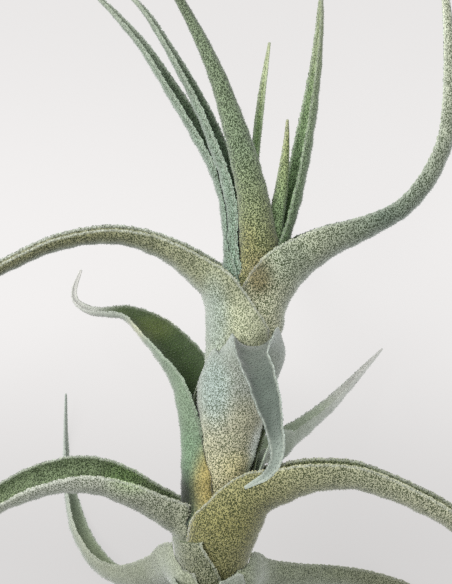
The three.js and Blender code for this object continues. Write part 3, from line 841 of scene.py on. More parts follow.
def write_attributes(piece: Piece, kind: str, values: dict[str, np.ndarray]) -> None:
    """Stores values for each vertex.

    Args:
        piece: The object.
        kind: Blender's name of their type.
        values: Each attribute's values by its name, one row for each vertex.
    """
    key = {"FLOAT": "value", "FLOAT_COLOR": "color"}.get(kind, "vector")
    for name, rows in values.items():
        if kind == "FLOAT_COLOR":
            rows = np.column_stack([rows, np.ones(len(rows))])
        attribute = piece.data.attributes.new(name, kind, "POINT")
        attribute.data.foreach_set(key, rows.astype(np.float32).ravel())


def loft_faces(rings: int, around: int, first: int = 0) -> list[tuple[int, ...]]:
    """Quads between rings of vertices that close on themselves.

    Args:
        rings: How many rings there are.
        around: Vertices in a ring.
        first: Number of the first vertex.

    Returns:
        The faces.
    """
    found = []
    for i in range(rings - 1):
        a, b = first + i * around, first + (i + 1) * around
        for j in range(around):
            k = (j + 1) % around
            found.append((a + j, b + j, b + k, a + k))
    return found


def face_tree(pieces: list[Piece]) -> BVHTree:
    """Gathers the faces of some pieces, to find what lies near a place.

    Args:
        pieces: The pieces.

    Returns:
        Their faces, sorted for the search.
    """
    corners, faces = [], []
    for piece in pieces:
        first = len(corners)
        corners += [v.co[:] for v in piece.data.vertices]
        faces += [[first + k for k in p.vertices] for p in piece.data.polygons]
    return BVHTree.FromPolygons(corners, faces)


@dataclass
class Graph:
    """A node tree, with short ways to add the nodes that come up most."""

    tree: bpy.types.NodeTree

    @classmethod
    def emptied(cls, owner: bpy.types.ID) -> "Graph":
        """Clears the nodes of a material or world.

        Args:
            owner: The material or world.

        Returns:
            Its empty tree.
        """
        owner.use_nodes = True
        owner.node_tree.nodes.clear()
        return cls(owner.node_tree)

    def add(self, kind: str, inputs: dict | None = None, **settings) -> bpy.types.bpy_prop_collection:
        """Adds a node.

        Args:
            kind: Its type.
            inputs: Values, or sockets to link, by the input's name or number.
            settings: Its own properties.

        Returns:
            Its outputs.
        """
        made = self.tree.nodes.new(kind)
        for key, value in settings.items():
            setattr(made, key, value)
        for key, value in (inputs or {}).items():
            socket = made.inputs[key]
            if isinstance(value, Socket):
                self.tree.links.new(value, socket)
            else:
                socket.default_value = value
        return made.outputs

    def place(self) -> Socket:
        """Places on the object itself."""
        return self.add("ShaderNodeTexCoord")["Object"]

    def stored(self, name: str, output: str = "Fac") -> Socket:
        """A value stored on the mesh, as a shader reads it."""
        return self.add("ShaderNodeAttribute", attribute_name=name)[output]

    def named(self, name: str, kind: str = "FLOAT_VECTOR") -> Socket:
        """A value stored on the mesh, as Geometry Nodes read it."""
        return self.add("GeometryNodeInputNamedAttribute", {"Name": name}, data_type=kind)["Attribute"]

    def remap(self, value: Socket, old: Pair, new: Pair, **settings) -> Socket:
        """Moves a value from an old range to a new one, and holds it there.

        Args:
            value: The value.
            old: Ends of the old range.
            new: Ends of the new range.
            settings: The node's own properties.

        Returns:
            The new value.
        """
        return self.add("ShaderNodeMapRange", {
            "Value": value, "From Min": old[0], "From Max": old[1],
            "To Min": new[0], "To Max": new[1]}, **settings)["Result"]

    def number(self, operation: str, a: Socket | float, b: Socket | float) -> Socket:
        """The outcome of two numbers."""
        return self.add("ShaderNodeMath", {0: a, 1: b}, operation=operation)["Value"]

    def vector(self, operation: str, a: Socket | Triple, b: Socket | Triple) -> Socket:
        """The outcome of two vectors."""
        return self.add("ShaderNodeVectorMath", {0: a, 1: b}, operation=operation)["Vector"]

    def scaled(self, vector: Socket | Triple, by: Socket | float) -> Socket:
        """A vector or colour times a number."""
        return self.add("ShaderNodeVectorMath", {0: vector, "Scale": by}, operation="SCALE")["Vector"]

    def mixed(self, share: Socket, a: Socket | tuple, b: Socket | tuple) -> Socket:
        """A colour between two others."""
        return self.add("ShaderNodeMix", {0: share, 6: a, 7: b}, data_type="RGBA")[2]

    def noise(self, place: Socket, scale: float, detail: float = 4.0, roughness: float = 0.65) -> Socket:
        """A cloudy pattern."""
        return self.add("ShaderNodeTexNoise", {
            "Vector": place, "Scale": scale, "Detail": detail, "Roughness": roughness})["Fac"]

    def bump(self, height: Socket, reach_mm: float, strength: float, **settings) -> Socket:
        """Directions that a surface of that height would face."""
        return self.add("ShaderNodeBump", {
            "Strength": strength, "Distance": reach_mm * MM, "Height": height}, **settings)["Normal"]

    def surface(self, colour: Socket, roughness: float, shine: float, more: dict) -> None:
        """Ends a material in one shader.

        Args:
            colour: Its colour.
            roughness: Its roughness.
            shine: How strongly it shines.
            more: Further inputs, by name.
        """
        values = {"Base Color": colour, "Roughness": roughness, "Specular IOR Level": shine}
        shader = self.add("ShaderNodeBsdfPrincipled", values | more)
        self.add("ShaderNodeOutputMaterial", {"Surface": shader["BSDF"]})


# Finishes


@dataclass(frozen=True)
class SkinFinish:
    """A leaf's skin: pale felt of the finest scales, with dark green pits between them.

    Attributes:
        name: The material's name.
        cell_mm: From one pit to the next.
        stroke: How much the pits are drawn out along the plant.
        disorder: How far they stray from an even grid.
        cell_sizes: The least and greatest size of a pit.
        pit: Where its slope begins and ends, as shares of its size.
        pit_share: How much of each colour is left in it.
        felt: How light the felt is.
        patchy: The least and greatest share of that.
        patch_scale: Patches in a metre.
        patch_fade: The cloud's values where the patches begin and end.
        margin: Colour of the pale margin.
        margin_mm: Where the margin begins to fade and where it ends.
        rags: The least and greatest cover of the margin.
        roughness: How dull it is.
        shine: How strongly it shines.
        sheen: How strongly its nap shines at a glancing angle.
        sheen_roughness: How soft that is.
        bump_mm: Depth of the pits.
        bump: How much of it shows.
    """

    name: str = "leaf_skin"
    cell_mm: float = 0.29
    stroke: float = 0.8
    disorder: float = 0.9
    cell_sizes: Pair = (0.75, 1.2)
    pit: Pair = (0.34, 0.62)
    pit_share: Triple = (0.10, 0.14, 0.06)
    felt: float = 1.34
    patchy: Pair = (0.86, 1.12)
    patch_scale: float = 200.0
    patch_fade: Pair = (0.3, 0.7)
    margin: Triple = (0.58, 0.61, 0.52)
    margin_mm: Pair = (0.21, 0.7)
    rags: Pair = (0.25, 1.0)
    roughness: float = 0.6
    shine: float = 0.25
    sheen: float = 0.45
    sheen_roughness: float = 0.4
    bump_mm: float = 0.08
    bump: float = 0.8

    def material(self) -> Material:
        """Builds the material.

        Returns:
            The material.
        """
        made = bpy.data.materials.new(self.name)
        graph = Graph.emptied(made)
        place, tint = graph.place(), graph.stored("tint", "Color")
        edge, hem, grain = (graph.stored(name) for name in ("edge", "hem", "grain"))
        cells = graph.add("ShaderNodeTexVoronoi", {
            "Vector": graph.vector("MULTIPLY", place, (1.0, self.stroke, 1.0)),
            "Scale": 1 / (self.cell_mm * MM), "Randomness": self.disorder})
        lot = graph.add("ShaderNodeSeparateColor", {"Color": cells["Color"]})
        away = graph.number("DIVIDE", cells["Distance"], graph.remap(lot["Red"], (0, 1), self.cell_sizes))
        depth = graph.number("MULTIPLY", graph.remap(away, self.pit, (1, 0)), grain)
        cloud = graph.noise(place, self.patch_scale)
        patch = graph.remap(cloud, self.patch_fade, tuple(self.felt * p for p in self.patchy))
        felt = graph.scaled(tint, patch)
        pitted = graph.mixed(depth, felt, graph.vector("MULTIPLY", felt, self.pit_share))
        rim = graph.remap(edge, self.margin_mm, (1, 0))
        torn = graph.number("MULTIPLY", rim, graph.remap(lot["Green"], (0, 1), self.rags))
        colour = graph.mixed(graph.number("MULTIPLY", torn, hem), pitted, (*self.margin, 1))
        graph.surface(colour, self.roughness, self.shine, {
            "Sheen Weight": self.sheen, "Sheen Roughness": self.sheen_roughness,
            "Normal": graph.bump(depth, self.bump_mm, self.bump, invert=True)})
        return made


@dataclass(frozen=True)
class ScaleFinish:
    """The thin silvery scales that cover a leaf and take on some of its colour.

    Attributes:
        name: The material's name.
        silver: Colour of a bare scale.
        silver_share: How much of it shows over the leaf's own colour.
        patchy: The least and greatest share of that.
        patch_scale: Patches in a metre.
        patch_fade: The cloud's values where the patches begin and end.
        lightness: How much lighter than the leaf the scales are.
        roughness: How dull they are.
        shine: How strongly they shine.
        sheen: How strongly they shine at a glancing angle.
        sheen_roughness: How soft that is.
    """

    name: str = "leaf_scales"
    silver: Triple = (0.60, 0.63, 0.56)
    silver_share: float = 0.07
    patchy: Pair = (0.55, 1.45)
    patch_scale: float = 260.0
    patch_fade: Pair = (0.32, 0.68)
    lightness: float = 1.27
    roughness: float = 0.62
    shine: float = 0.3
    sheen: float = 0.25
    sheen_roughness: float = 0.5

    def material(self) -> Material:
        """Builds the material.

        Returns:
            The material.
        """
        made = bpy.data.materials.new(self.name)
        graph = Graph.emptied(made)
        cloud = graph.noise(graph.place(), self.patch_scale)
        share = graph.remap(cloud, self.patch_fade, tuple(self.silver_share * p for p in self.patchy))
        light = graph.scaled(graph.stored("tint", "Color"), self.lightness)
        mixed = graph.mixed(share, light, (*self.silver, 1))
        colour = graph.scaled(mixed, graph.stored("shade"))
        graph.surface(colour, self.roughness, self.shine, {
            "Sheen Weight": self.sheen, "Sheen Roughness": self.sheen_roughness})
        return made


@dataclass(frozen=True)
class FibreFinish:
    """Dry plant matter: papery leaves, the bare stem and its wiry roots.

    Attributes:
        name: The material's name.
        pale: Its palest colour.
        dark: Its darkest.
        fibre_scale: Fibres in a metre.
        fibre_draw: How much they are drawn out along the plant.
        fibre_cloud: Detail and roughness of their pattern.
        stain_scale: Stains in a metre.
        stain_cloud: Detail and roughness of their pattern.
        fade: The sums of both where dark begins and pale ends.
        roughness: How dull it is.
        shine: How strongly it shines.
        bump_mm: Depth of the fibres.
        bump: How much of it shows.
    """

    name: str
    pale: Seen
    dark: Seen
    fibre_scale: float = 1500.0
    fibre_draw: float = 0.22
    fibre_cloud: Pair = (5.0, 0.7)
    stain_scale: float = 220.0
    stain_cloud: Pair = (3.0, 0.5)
    fade: Pair = (0.8, 1.2)
    roughness: float = 0.85
    shine: float = 0.2
    bump_mm: float = 0.15
    bump: float = 0.6

    def material(self) -> Material:
        """Builds the material.

        Returns:
            The material.
        """
        made = bpy.data.materials.new(self.name)
        graph = Graph.emptied(made)
        place = graph.place()
        drawn = graph.add("ShaderNodeMapping", {"Vector": place, "Scale": (1.0, self.fibre_draw, 1.0)})
        fibres = graph.noise(drawn["Vector"], self.fibre_scale, *self.fibre_cloud)
        stains = graph.noise(place, self.stain_scale, *self.stain_cloud)
        both = graph.number("ADD", fibres, stains)
        colour = graph.mixed(
            graph.remap(both, self.fade, (0, 1)), (*linear(self.dark), 1), (*linear(self.pale), 1))
        graph.surface(colour, self.roughness, self.shine, {
            "Normal": graph.bump(fibres, self.bump_mm, self.bump)})
        return made


# Leaves and their scales


def boxes_meet(a: Piece, b: Piece) -> bool:
    """Compares the boxes of two objects.

    Args:
        a: One object.
        b: The other.

    Returns:
        True if their boxes overlap.
    """
    (low_a, high_a), (low_b, high_b) = (
        (np.min(o.bound_box, axis=0), np.max(o.bound_box, axis=0)) for o in (a, b))
    return bool(np.all(low_a <= high_b) and np.all(low_b <= high_a))


def settle(piece: Piece) -> None:
    """Turns a piece and its modifiers into a plain mesh.

    Args:
        piece: The object.
    """
    graph = bpy.context.evaluated_depsgraph_get()
    mesh = bpy.data.meshes.new_from_object(piece.evaluated_get(graph), depsgraph=graph)
    piece.modifiers.clear()
    before, piece.data = piece.data, mesh
    bpy.data.meshes.remove(before)
    mesh.name = piece.name


def keep_largest(made: bmesh.types.BMesh) -> None:
    """Removes all but the part of a mesh that has the most surface.

    Args:
        made: The mesh.
    """
    left, parts = set(made.verts), []
    while left:
        part, edge = [], [left.pop()]
        while edge:
            vertex = edge.pop()
            part.append(vertex)
            for link in vertex.link_edges:
                other = link.other_vert(vertex)
                if other in left:
                    left.discard(other)
                    edge.append(other)
        parts.append(part)

    def area(part: list) -> float:
        """The area of a part's faces."""
        return sum(f.calc_area() for f in {f for v in part for f in v.link_faces})

    parts.sort(key=area)
    for part in parts[:-1]:
        bmesh.ops.delete(made, geom=part, context="VERTS")


def carve(piece: Piece, rooms: list[Piece]) -> None:
    """Cuts rooms out of a piece and keeps its largest part.

    Args:
        piece: The object.
        rooms: The closed objects to cut away.
    """
    near = bpy.data.collections.new("near")
    for room in rooms:
        if boxes_meet(piece, room):
            near.objects.link(room)
    if near.objects:
        modifier = piece.modifiers.new("carve", "BOOLEAN")
        modifier.operation, modifier.solver = "DIFFERENCE", "MANIFOLD"
        modifier.operand_type, modifier.collection = "COLLECTION", near
        settle(piece)
    bpy.data.collections.remove(near)
    made = bmesh.new()
    made.from_mesh(piece.data)
    keep_largest(made)
    made.to_mesh(piece.data)
    made.free()


@dataclass
class LeafSkin:
    """The sheet of a leaf, closed round its margins, foot and tip.

    Attributes:
        across: Steps from margin to margin.
        room_across: The same for the room that its neighbours leave it.
        room_every: Stations from one of that room's rings to the next.
        floor_gap_mm: How far over the floor its lowest points stay.
        piece: The finished sheet.
    """

    form: LeafForm
    place: Place
    finish: Material
    across: int = 22
    room_across: int = 14
    room_every: int = 3
    floor_gap_mm: float = 0.02
    piece: Piece = field(init=False)

    def build(self, rooms: list[Piece]) -> Piece:
        """Builds the sheet, gives way to the leaves inside it and takes its colours.

        Args:
            rooms: The rooms of the leaves inside this one.

        Returns:
            The piece.
        """
        points, faces, marks = self.form.rings(self.across)
        points[:, 2] = np.maximum(points[:, 2], self.floor_gap_mm - STEM_HEIGHT)
        spots = self.place.metres(points)
        self.piece = finished(
            new_object(f"{self.form.leaf.name}_skin", spots, faces, self._map(faces, marks)), self.finish)
        carve(self.piece, rooms)
        self._colour(points, spots, marks)
        return self.piece

    def _map(self, faces: list, marks: Marks) -> np.ndarray:
        """Lays the sheet out flat for the bake.

        Args:
            faces: The faces.
            marks: The vertices' marks.

        Returns:
            A place on the map for each corner of each face.
        """
        around = 2 * (self.across + 1)
        u = np.append(np.tile(np.arange(around), len(self.form.at)), 0) / (around + 1)
        v = self.form.way(marks.span)
        corners = []
        for ring in faces:
            wraps = len(ring) == 4 and min(u[k] for k in ring) == 0 and max(u[k] for k in ring) > 0.5
            for k in ring:
                corners.append((around / (around + 1) if wraps and u[k] == 0 else u[k], v[k]))
        return np.array(corners) * MAP_SPAN + MAP_EDGE

    def _colour(self, points: np.ndarray, spots: np.ndarray, marks: Marks) -> None:
        """Gives each vertex of the carved sheet what the nearest one had before.

        Args:
            points: The vertices before the cut, in the plant's axes.
            spots: The same in metres.
            marks: Their marks.
        """
        form, lookup = self.form, KDTree(len(spots))
        for k, spot in enumerate(spots):
            lookup.insert(spot, k)
        lookup.balance()
        nearest = np.array([lookup.find(v.co)[1] for v in self.piece.data.vertices])
        edge = (1 - np.abs(marks.share)) * form.width(marks.span) / 2
        write_attributes(self.piece, "FLOAT", {
            "edge": edge[nearest], "hem": np.full(len(nearest), form.leaf.look.hem),
            "grain": form.grain(marks.span, marks.facing)[nearest]})
        tint = form.tint(points, marks.span, marks.face, marks.facing)
        write_attributes(self.piece, "FLOAT_COLOR", {"tint": tint[nearest]})

    def room(self) -> Piece:
        """The space that the leaves round this one leave it."""
        points, faces, _ = self.form.rings(self.room_across, self.room_every, self.form.CLEARANCE)
        return new_object(f"{self.form.leaf.name}_room", self.place.metres(points), faces)


@dataclass(frozen=True)
class ScaleCover:
    """How the scales of a leaf lie: in rows along it, each row's scales between its neighbours'.

    Attributes:
        row_mm: From one row to the next across the leaf.
        step_mm: From one scale to the next along a row.
        stagger: How far every second row is set off, as a share of a row.
        wander: How far a scale strays from its place, as a share of the distances.
        foot_mm: From the foot to the first scale.
        tip_mm: From the last scale of a row to the tip.
        inner_from: Where the scales of the channel begin, in spans.
        narrow_mm: A channel this narrow has no scales inside.
        widest: The outermost place across the leaf, where the margin is 1.
        fringe_mm: From one scale to the next along a margin.
        fringe_wander: How far one of those strays, as a share of that.
        fringe_tip_mm: From the last of them to the tip.
        hidden_mm: A scale is left out if another leaf lies this close over it.
    """

    row_mm: float = 0.80
    step_mm: float = 0.84
    stagger: float = 0.25
    wander: float = 0.32
    foot_mm: float = 0.3
    tip_mm: float = 0.6
    inner_from: float = 1.2
    narrow_mm: float = 0.7
    widest: float = 0.995
    fringe_mm: float = 0.32
    fringe_wander: float = 0.4
    fringe_tip_mm: float = 0.4
    hidden_mm: float = 1.0

    def spots(self, form: LeafForm, rng: np.random.Generator) -> tuple[np.ndarray, np.ndarray, np.ndarray]:
        """Places of the scales on both faces.

        Args:
            form: The leaf.
            rng: Source of their wander.

        Returns:
            Spans along the leaf, shares across it and faces, one for each scale.
        """
        walked = np.arange(self.foot_mm, form.length[-1] - self.tip_mm, self.step_mm)
        spans, shares, faces = [], [], []
        for face in Face:
            for k, distance in enumerate(walked):
                span = np.interp(distance, form.length, form.at)
                narrow = np.interp(span, form.at, form.radius) < self.narrow_mm
                if face is Face.INNER and (span < self.inner_from or narrow):
                    continue
                count = max(2, round(float(form.width(span)) / self.row_mm))
                middle = (np.arange(count) + 0.5 + self.stagger * (-1) ** k) * 2 / count - 1
                middle += rng.uniform(-1, 1, count) * self.wander * 2 / count
                shares.append(np.clip(middle, -self.widest, self.widest))
                stray = rng.uniform(-1, 1, count) * self.wander * self.step_mm
                spans.append(np.interp(distance + stray, form.length, form.at))
                faces.append(np.full(count, face.value))
        return np.concatenate(spans), np.concatenate(shares), np.concatenate(faces)

    def fringe(self, form: LeafForm, rng: np.random.Generator) -> tuple[np.ndarray, np.ndarray]:
        """Places of the scales along both margins.

        Args:
            form: The leaf.
            rng: Source of their wander.

        Returns:
            Spans along the leaf, and -1 or 1 for the margin.
        """
        one_side = np.arange(self.foot_mm, form.length[-1] - self.fringe_tip_mm, self.fringe_mm)
        side = np.repeat([-1.0, 1.0], len(one_side))
        stray = rng.uniform(-self.fringe_wander, self.fringe_wander, len(side)) * self.fringe_mm
        return np.interp(np.tile(one_side, 2) + stray, form.length, form.at), side


def scale_tree(finish: Material, sides: int = 6, spin: float = 3.1) -> bpy.types.NodeTree:
    """The Geometry Nodes that set a scale on each point, turned to the leaf.

    Args:
        finish: The scales' material.
        sides: Corners of a scale.
        spin: How far a scale may turn on its seat, for each unit that it may tilt.

    Returns:
        The nodes.
    """
    tree = bpy.data.node_groups.new("leaf_scales", "GeometryNodeTree")
    for name, kind in (
        ("Geometry", "Geometry"), ("Width", "Float"), ("Length", "Float"), ("Cup", "Float"),
        ("Lean", "Float"), ("Loose", "Float"), ("Seed", "Int"), ("Map Share", "Float"),
    ):
        tree.interface.new_socket(name, in_out="INPUT", socket_type=f"NodeSocket{kind}")
    tree.interface.new_socket("Geometry", in_out="OUTPUT", socket_type="NodeSocketGeometry")
    graph = Graph(tree)
    source = graph.add("NodeGroupInput")
    plate = graph.add("GeometryNodeMeshCircle", {"Vertices": sides, "Radius": 0.5}, fill_type="NGON")
    stretch = graph.add("ShaderNodeCombineXYZ", {"X": source["Width"], "Y": source["Length"], "Z": 1.0})
    shaped = graph.add("GeometryNodeTransform", {"Geometry": plate["Mesh"], "Scale": stretch["Vector"]})
    odd = graph.number("MODULO", graph.add("GeometryNodeInputIndex")["Index"], 2.0)
    rise = graph.add("ShaderNodeCombineXYZ", {"Z": graph.number("MULTIPLY", odd, source["Cup"])})
    cupped = graph.add("GeometryNodeSetPosition", {
        "Geometry": shaped["Geometry"], "Offset": rise["Vector"]})
    marked = graph.add("GeometryNodeStoreNamedAttribute", {
        "Geometry": cupped["Geometry"], "Name": "local",
        "Value": graph.add("GeometryNodeInputPosition")["Position"]},
        data_type="FLOAT_VECTOR", domain="POINT")
    flat = graph.add("FunctionNodeAxesToRotation", {
        "Primary Axis": graph.named("facing"), "Secondary Axis": graph.named("lengthwise")},
        primary_axis="Z", secondary_axis="Y")
    loose = graph.add("FunctionNodeRandomValue", {
        "Min": (-1.0, -1.0, -spin), "Max": (1.0, 1.0, spin), "Seed": source["Seed"]},
        data_type="FLOAT_VECTOR")
    lean = graph.add("ShaderNodeCombineXYZ", {"X": source["Lean"]})
    turns = graph.vector("ADD", graph.scaled(loose["Value"], source["Loose"]), lean["Vector"])
    tilted = graph.add("FunctionNodeRotateRotation", {
        "Rotation": flat["Rotation"],
        "Rotate By": graph.add("FunctionNodeEulerToRotation", {"Euler": turns})["Rotation"]},
        rotation_space="LOCAL")
    placed = graph.add("GeometryNodeInstanceOnPoints", {
        "Points": source["Geometry"], "Instance": marked["Geometry"],
        "Rotation": tilted["Rotation"], "Scale": graph.named("size", "FLOAT")})
    real = graph.add("GeometryNodeRealizeInstances", {"Geometry": placed["Instances"]})
    offset = graph.scaled(graph.named("local"), source["Map Share"])
    mapped = graph.add("GeometryNodeStoreNamedAttribute", {
        "Geometry": real["Geometry"], "Name": MAP,
        "Value": graph.vector("ADD", graph.named("spot"), offset)},
        data_type="FLOAT2", domain="CORNER")
    dressed = graph.add("GeometryNodeSetMaterial", {"Geometry": mapped["Geometry"], "Material": finish})
    graph.add("NodeGroupOutput", {"Geometry": dressed["Geometry"]})
    return tree


def grown(piece: Piece, tree: bpy.types.NodeTree, values: dict[str, float]) -> Piece:
    """Runs Geometry Nodes on a piece and keeps the result as a plain mesh.

    Args:
        piece: The object.
        tree: The nodes.
        values: Their inputs, by name.

    Returns:
        The same object, with no modifier.
    """
    modifier = piece.modifiers.new("grown", "NODES")
    modifier.node_group = tree
    keys = {item.name: item.identifier for item in tree.interface.items_tree
            if item.item_type == "SOCKET" and item.in_out == "INPUT"}
    for name, value in values.items():
        modifier[keys[name]] = value
    settle(piece)
    return piece


@dataclass
class LeafScales:
    """The silvery scales of one leaf.

    Attributes:
        cup_mm: How far every second corner of a scale stands up.
        lean: How far it leans off the leaf, in radians.
        loose: How far it may turn from that.
        lift_mm: How far over the face its middle stands.
        seat_mm: It is left out where the leaf is cut away this far.
        rise_mm: How far over it the search for another leaf begins.
        floor_gap_mm: No scale has its middle nearer to the floor.
        sizes: The least and greatest size.
        full_width_mm: Leaves narrower than this have smaller scales.
        least_size: The least share of a size that is left there.
        rim_size: How much larger a margin's scales are.
        rim_share: How far across the leaf they are seated.
        rim_turn: How far they turn outwards or back.
        rim_reach_mm: How far they stand out.
        tones: The middle of the tones and their spread.
        tone_limits: The darkest and lightest tone.
        rim_tone: How much lighter the scales are at the margins.
        rim_tone_mm: Where that begins to fade and where it ends.
        map_share: A scale's size on the bake's map, for each metre.
        half_map: What one face takes up of the map.
    """

    form: LeafForm
    place: Place
    tree: bpy.types.NodeTree
    finish: Material
    cover: ScaleCover = ScaleCover()
    width_mm: float = 0.30
    length_mm: float = 0.36
    cup_mm: float = 0.07
    lean: float = 0.20
    loose: float = 0.22
    lift_mm: float = 0.10
    seat_mm: float = 0.30
    rise_mm: float = 0.25
    floor_gap_mm: float = 0.3
    sizes: Pair = (0.82, 1.18)
    full_width_mm: float = 2.5
    least_size: float = 0.45
    rim_size: float = 1.35
    rim_share: float = 0.999
    rim_turn: float = 0.9
    rim_reach_mm: Pair = (0.02, 0.16)
    tones: Pair = (1.0, 0.13)
    tone_limits: Pair = (0.65, 1.4)
    rim_tone: float = 1.16
    rim_tone_mm: Pair = (0.1, 0.9)
    map_share: float = 8.0
    half_map: float = 0.47

    def build(self, own: BVHTree, leaves: BVHTree, rng: np.random.Generator, seed: int) -> Piece:
        """Builds the scales.

        Args:
            own: This leaf's sheet.
            leaves: The sheets of all leaves, to find where a scale would be covered.
            rng: Source of the scales' wander and tones.
            seed: The seed of their turns.

        Returns:
            The piece, a plain mesh.
        """
        form = self.form
        span, share, face = self.cover.spots(form, rng)
        rows = form.surface(span, share, face, self.lift_mm)
        rim_span, side = self.cover.fringe(form, rng)
        rim = self._rim(rim_span, side, rng)
        points, facing, lengthwise = (np.vstack(pair) for pair in zip(rows, rim))
        span, share, face = (
            np.concatenate(pair)
            for pair in ((span, rim_span), (share, side), (face, np.ones(len(side)))))
        width = form.width(span)
        edge = (1 - np.abs(share)) * width / 2
        tone = rng.normal(*self.tones, len(span)).clip(*self.tone_limits)
        tone *= lerp(self.rim_tone, 1.0, smoothstep(edge, *self.rim_tone_mm))
        size = rng.uniform(*self.sizes, len(span)) * np.clip(width / self.full_width_mm, self.least_size, 1)
        size *= np.where(np.abs(share) == 1, self.rim_size, 1.0)
        spot = np.stack([
            (share + 1) / 2 * self.half_map + np.where(face > 0, 0.0, 0.5) + MAP_EDGE,
            form.way(span) * MAP_SPAN + MAP_EDGE, np.zeros(len(span))], -1)
        tint = form.tint(points, span, face, facing)
        kept = self._kept(points, facing, own, leaves)
        made = new_object(f"{form.leaf.name}_scales", self.place.metres(points[kept]), [])
        write_attributes(made, "FLOAT_VECTOR", {
            "facing": facing[kept], "lengthwise": lengthwise[kept], "spot": spot[kept]})
        write_attributes(made, "FLOAT", {"size": size[kept], "shade": tone[kept]})
        write_attributes(made, "FLOAT_COLOR", {"tint": tint[kept]})
        made.data.materials.append(self.finish)
        return grown(made, self.tree, {
            "Width": self.width_mm * MM, "Length": self.length_mm * MM, "Cup": self.cup_mm * MM,
            "Lean": self.lean, "Loose": self.loose, "Seed": seed, "Map Share": self.map_share})

    def _rim(
        self, span: np.ndarray, side: np.ndarray, rng: np.random.Generator
    ) -> tuple[np.ndarray, np.ndarray, np.ndarray]:
        """Seats of the scales along both margins, half way between the faces.

        Args:
            span: How far along they are.
            side: -1 or 1 for the margin.
            rng: Source of their turns.

        Returns:
            The points, the directions they face and the leaf's directions there.
        """
        ones = np.ones(len(side))
        outer, front, ahead = self.form.surface(span, side * self.rim_share, ones)
        inner, _, _ = self.form.surface(span, side * self.rim_share, -ones)
        outward = unit(np.cross(ahead, front)) * -side[:, None]
        turn = rng.uniform(-self.rim_turn, self.rim_turn, len(side))
        reach = rng.uniform(*self.rim_reach_mm, len(side))[:, None]
        return lerp(outer, inner, 0.5) + outward * reach, unit(front + outward * turn[:, None]), ahead

    def _kept(self, points: np.ndarray, facing: np.ndarray, own: BVHTree, leaves: BVHTree) -> np.ndarray:
        """Finds the scales that have a seat and show.

        Args:
            points: Their places, in the plant's axes.
            facing: The directions they face.
            own: This leaf's sheet.
            leaves: The sheets of all leaves.

        Returns:
            True for each scale that stays.
        """
        kept = points[:, 2] > self.floor_gap_mm - STEM_HEIGHT
        seats = self.place.metres(points)
        starts = self.place.metres(points + facing * self.rise_mm)
        for i in np.flatnonzero(kept):
            seated = own.find_nearest(Vector(seats[i]), self.seat_mm * MM)[0] is not None
            ray = Vector(starts[i]), Vector(facing[i]), self.cover.hidden_mm * MM
            kept[i] = seated and leaves.ray_cast(*ray)[0] is None
        return kept


# Stem and roots


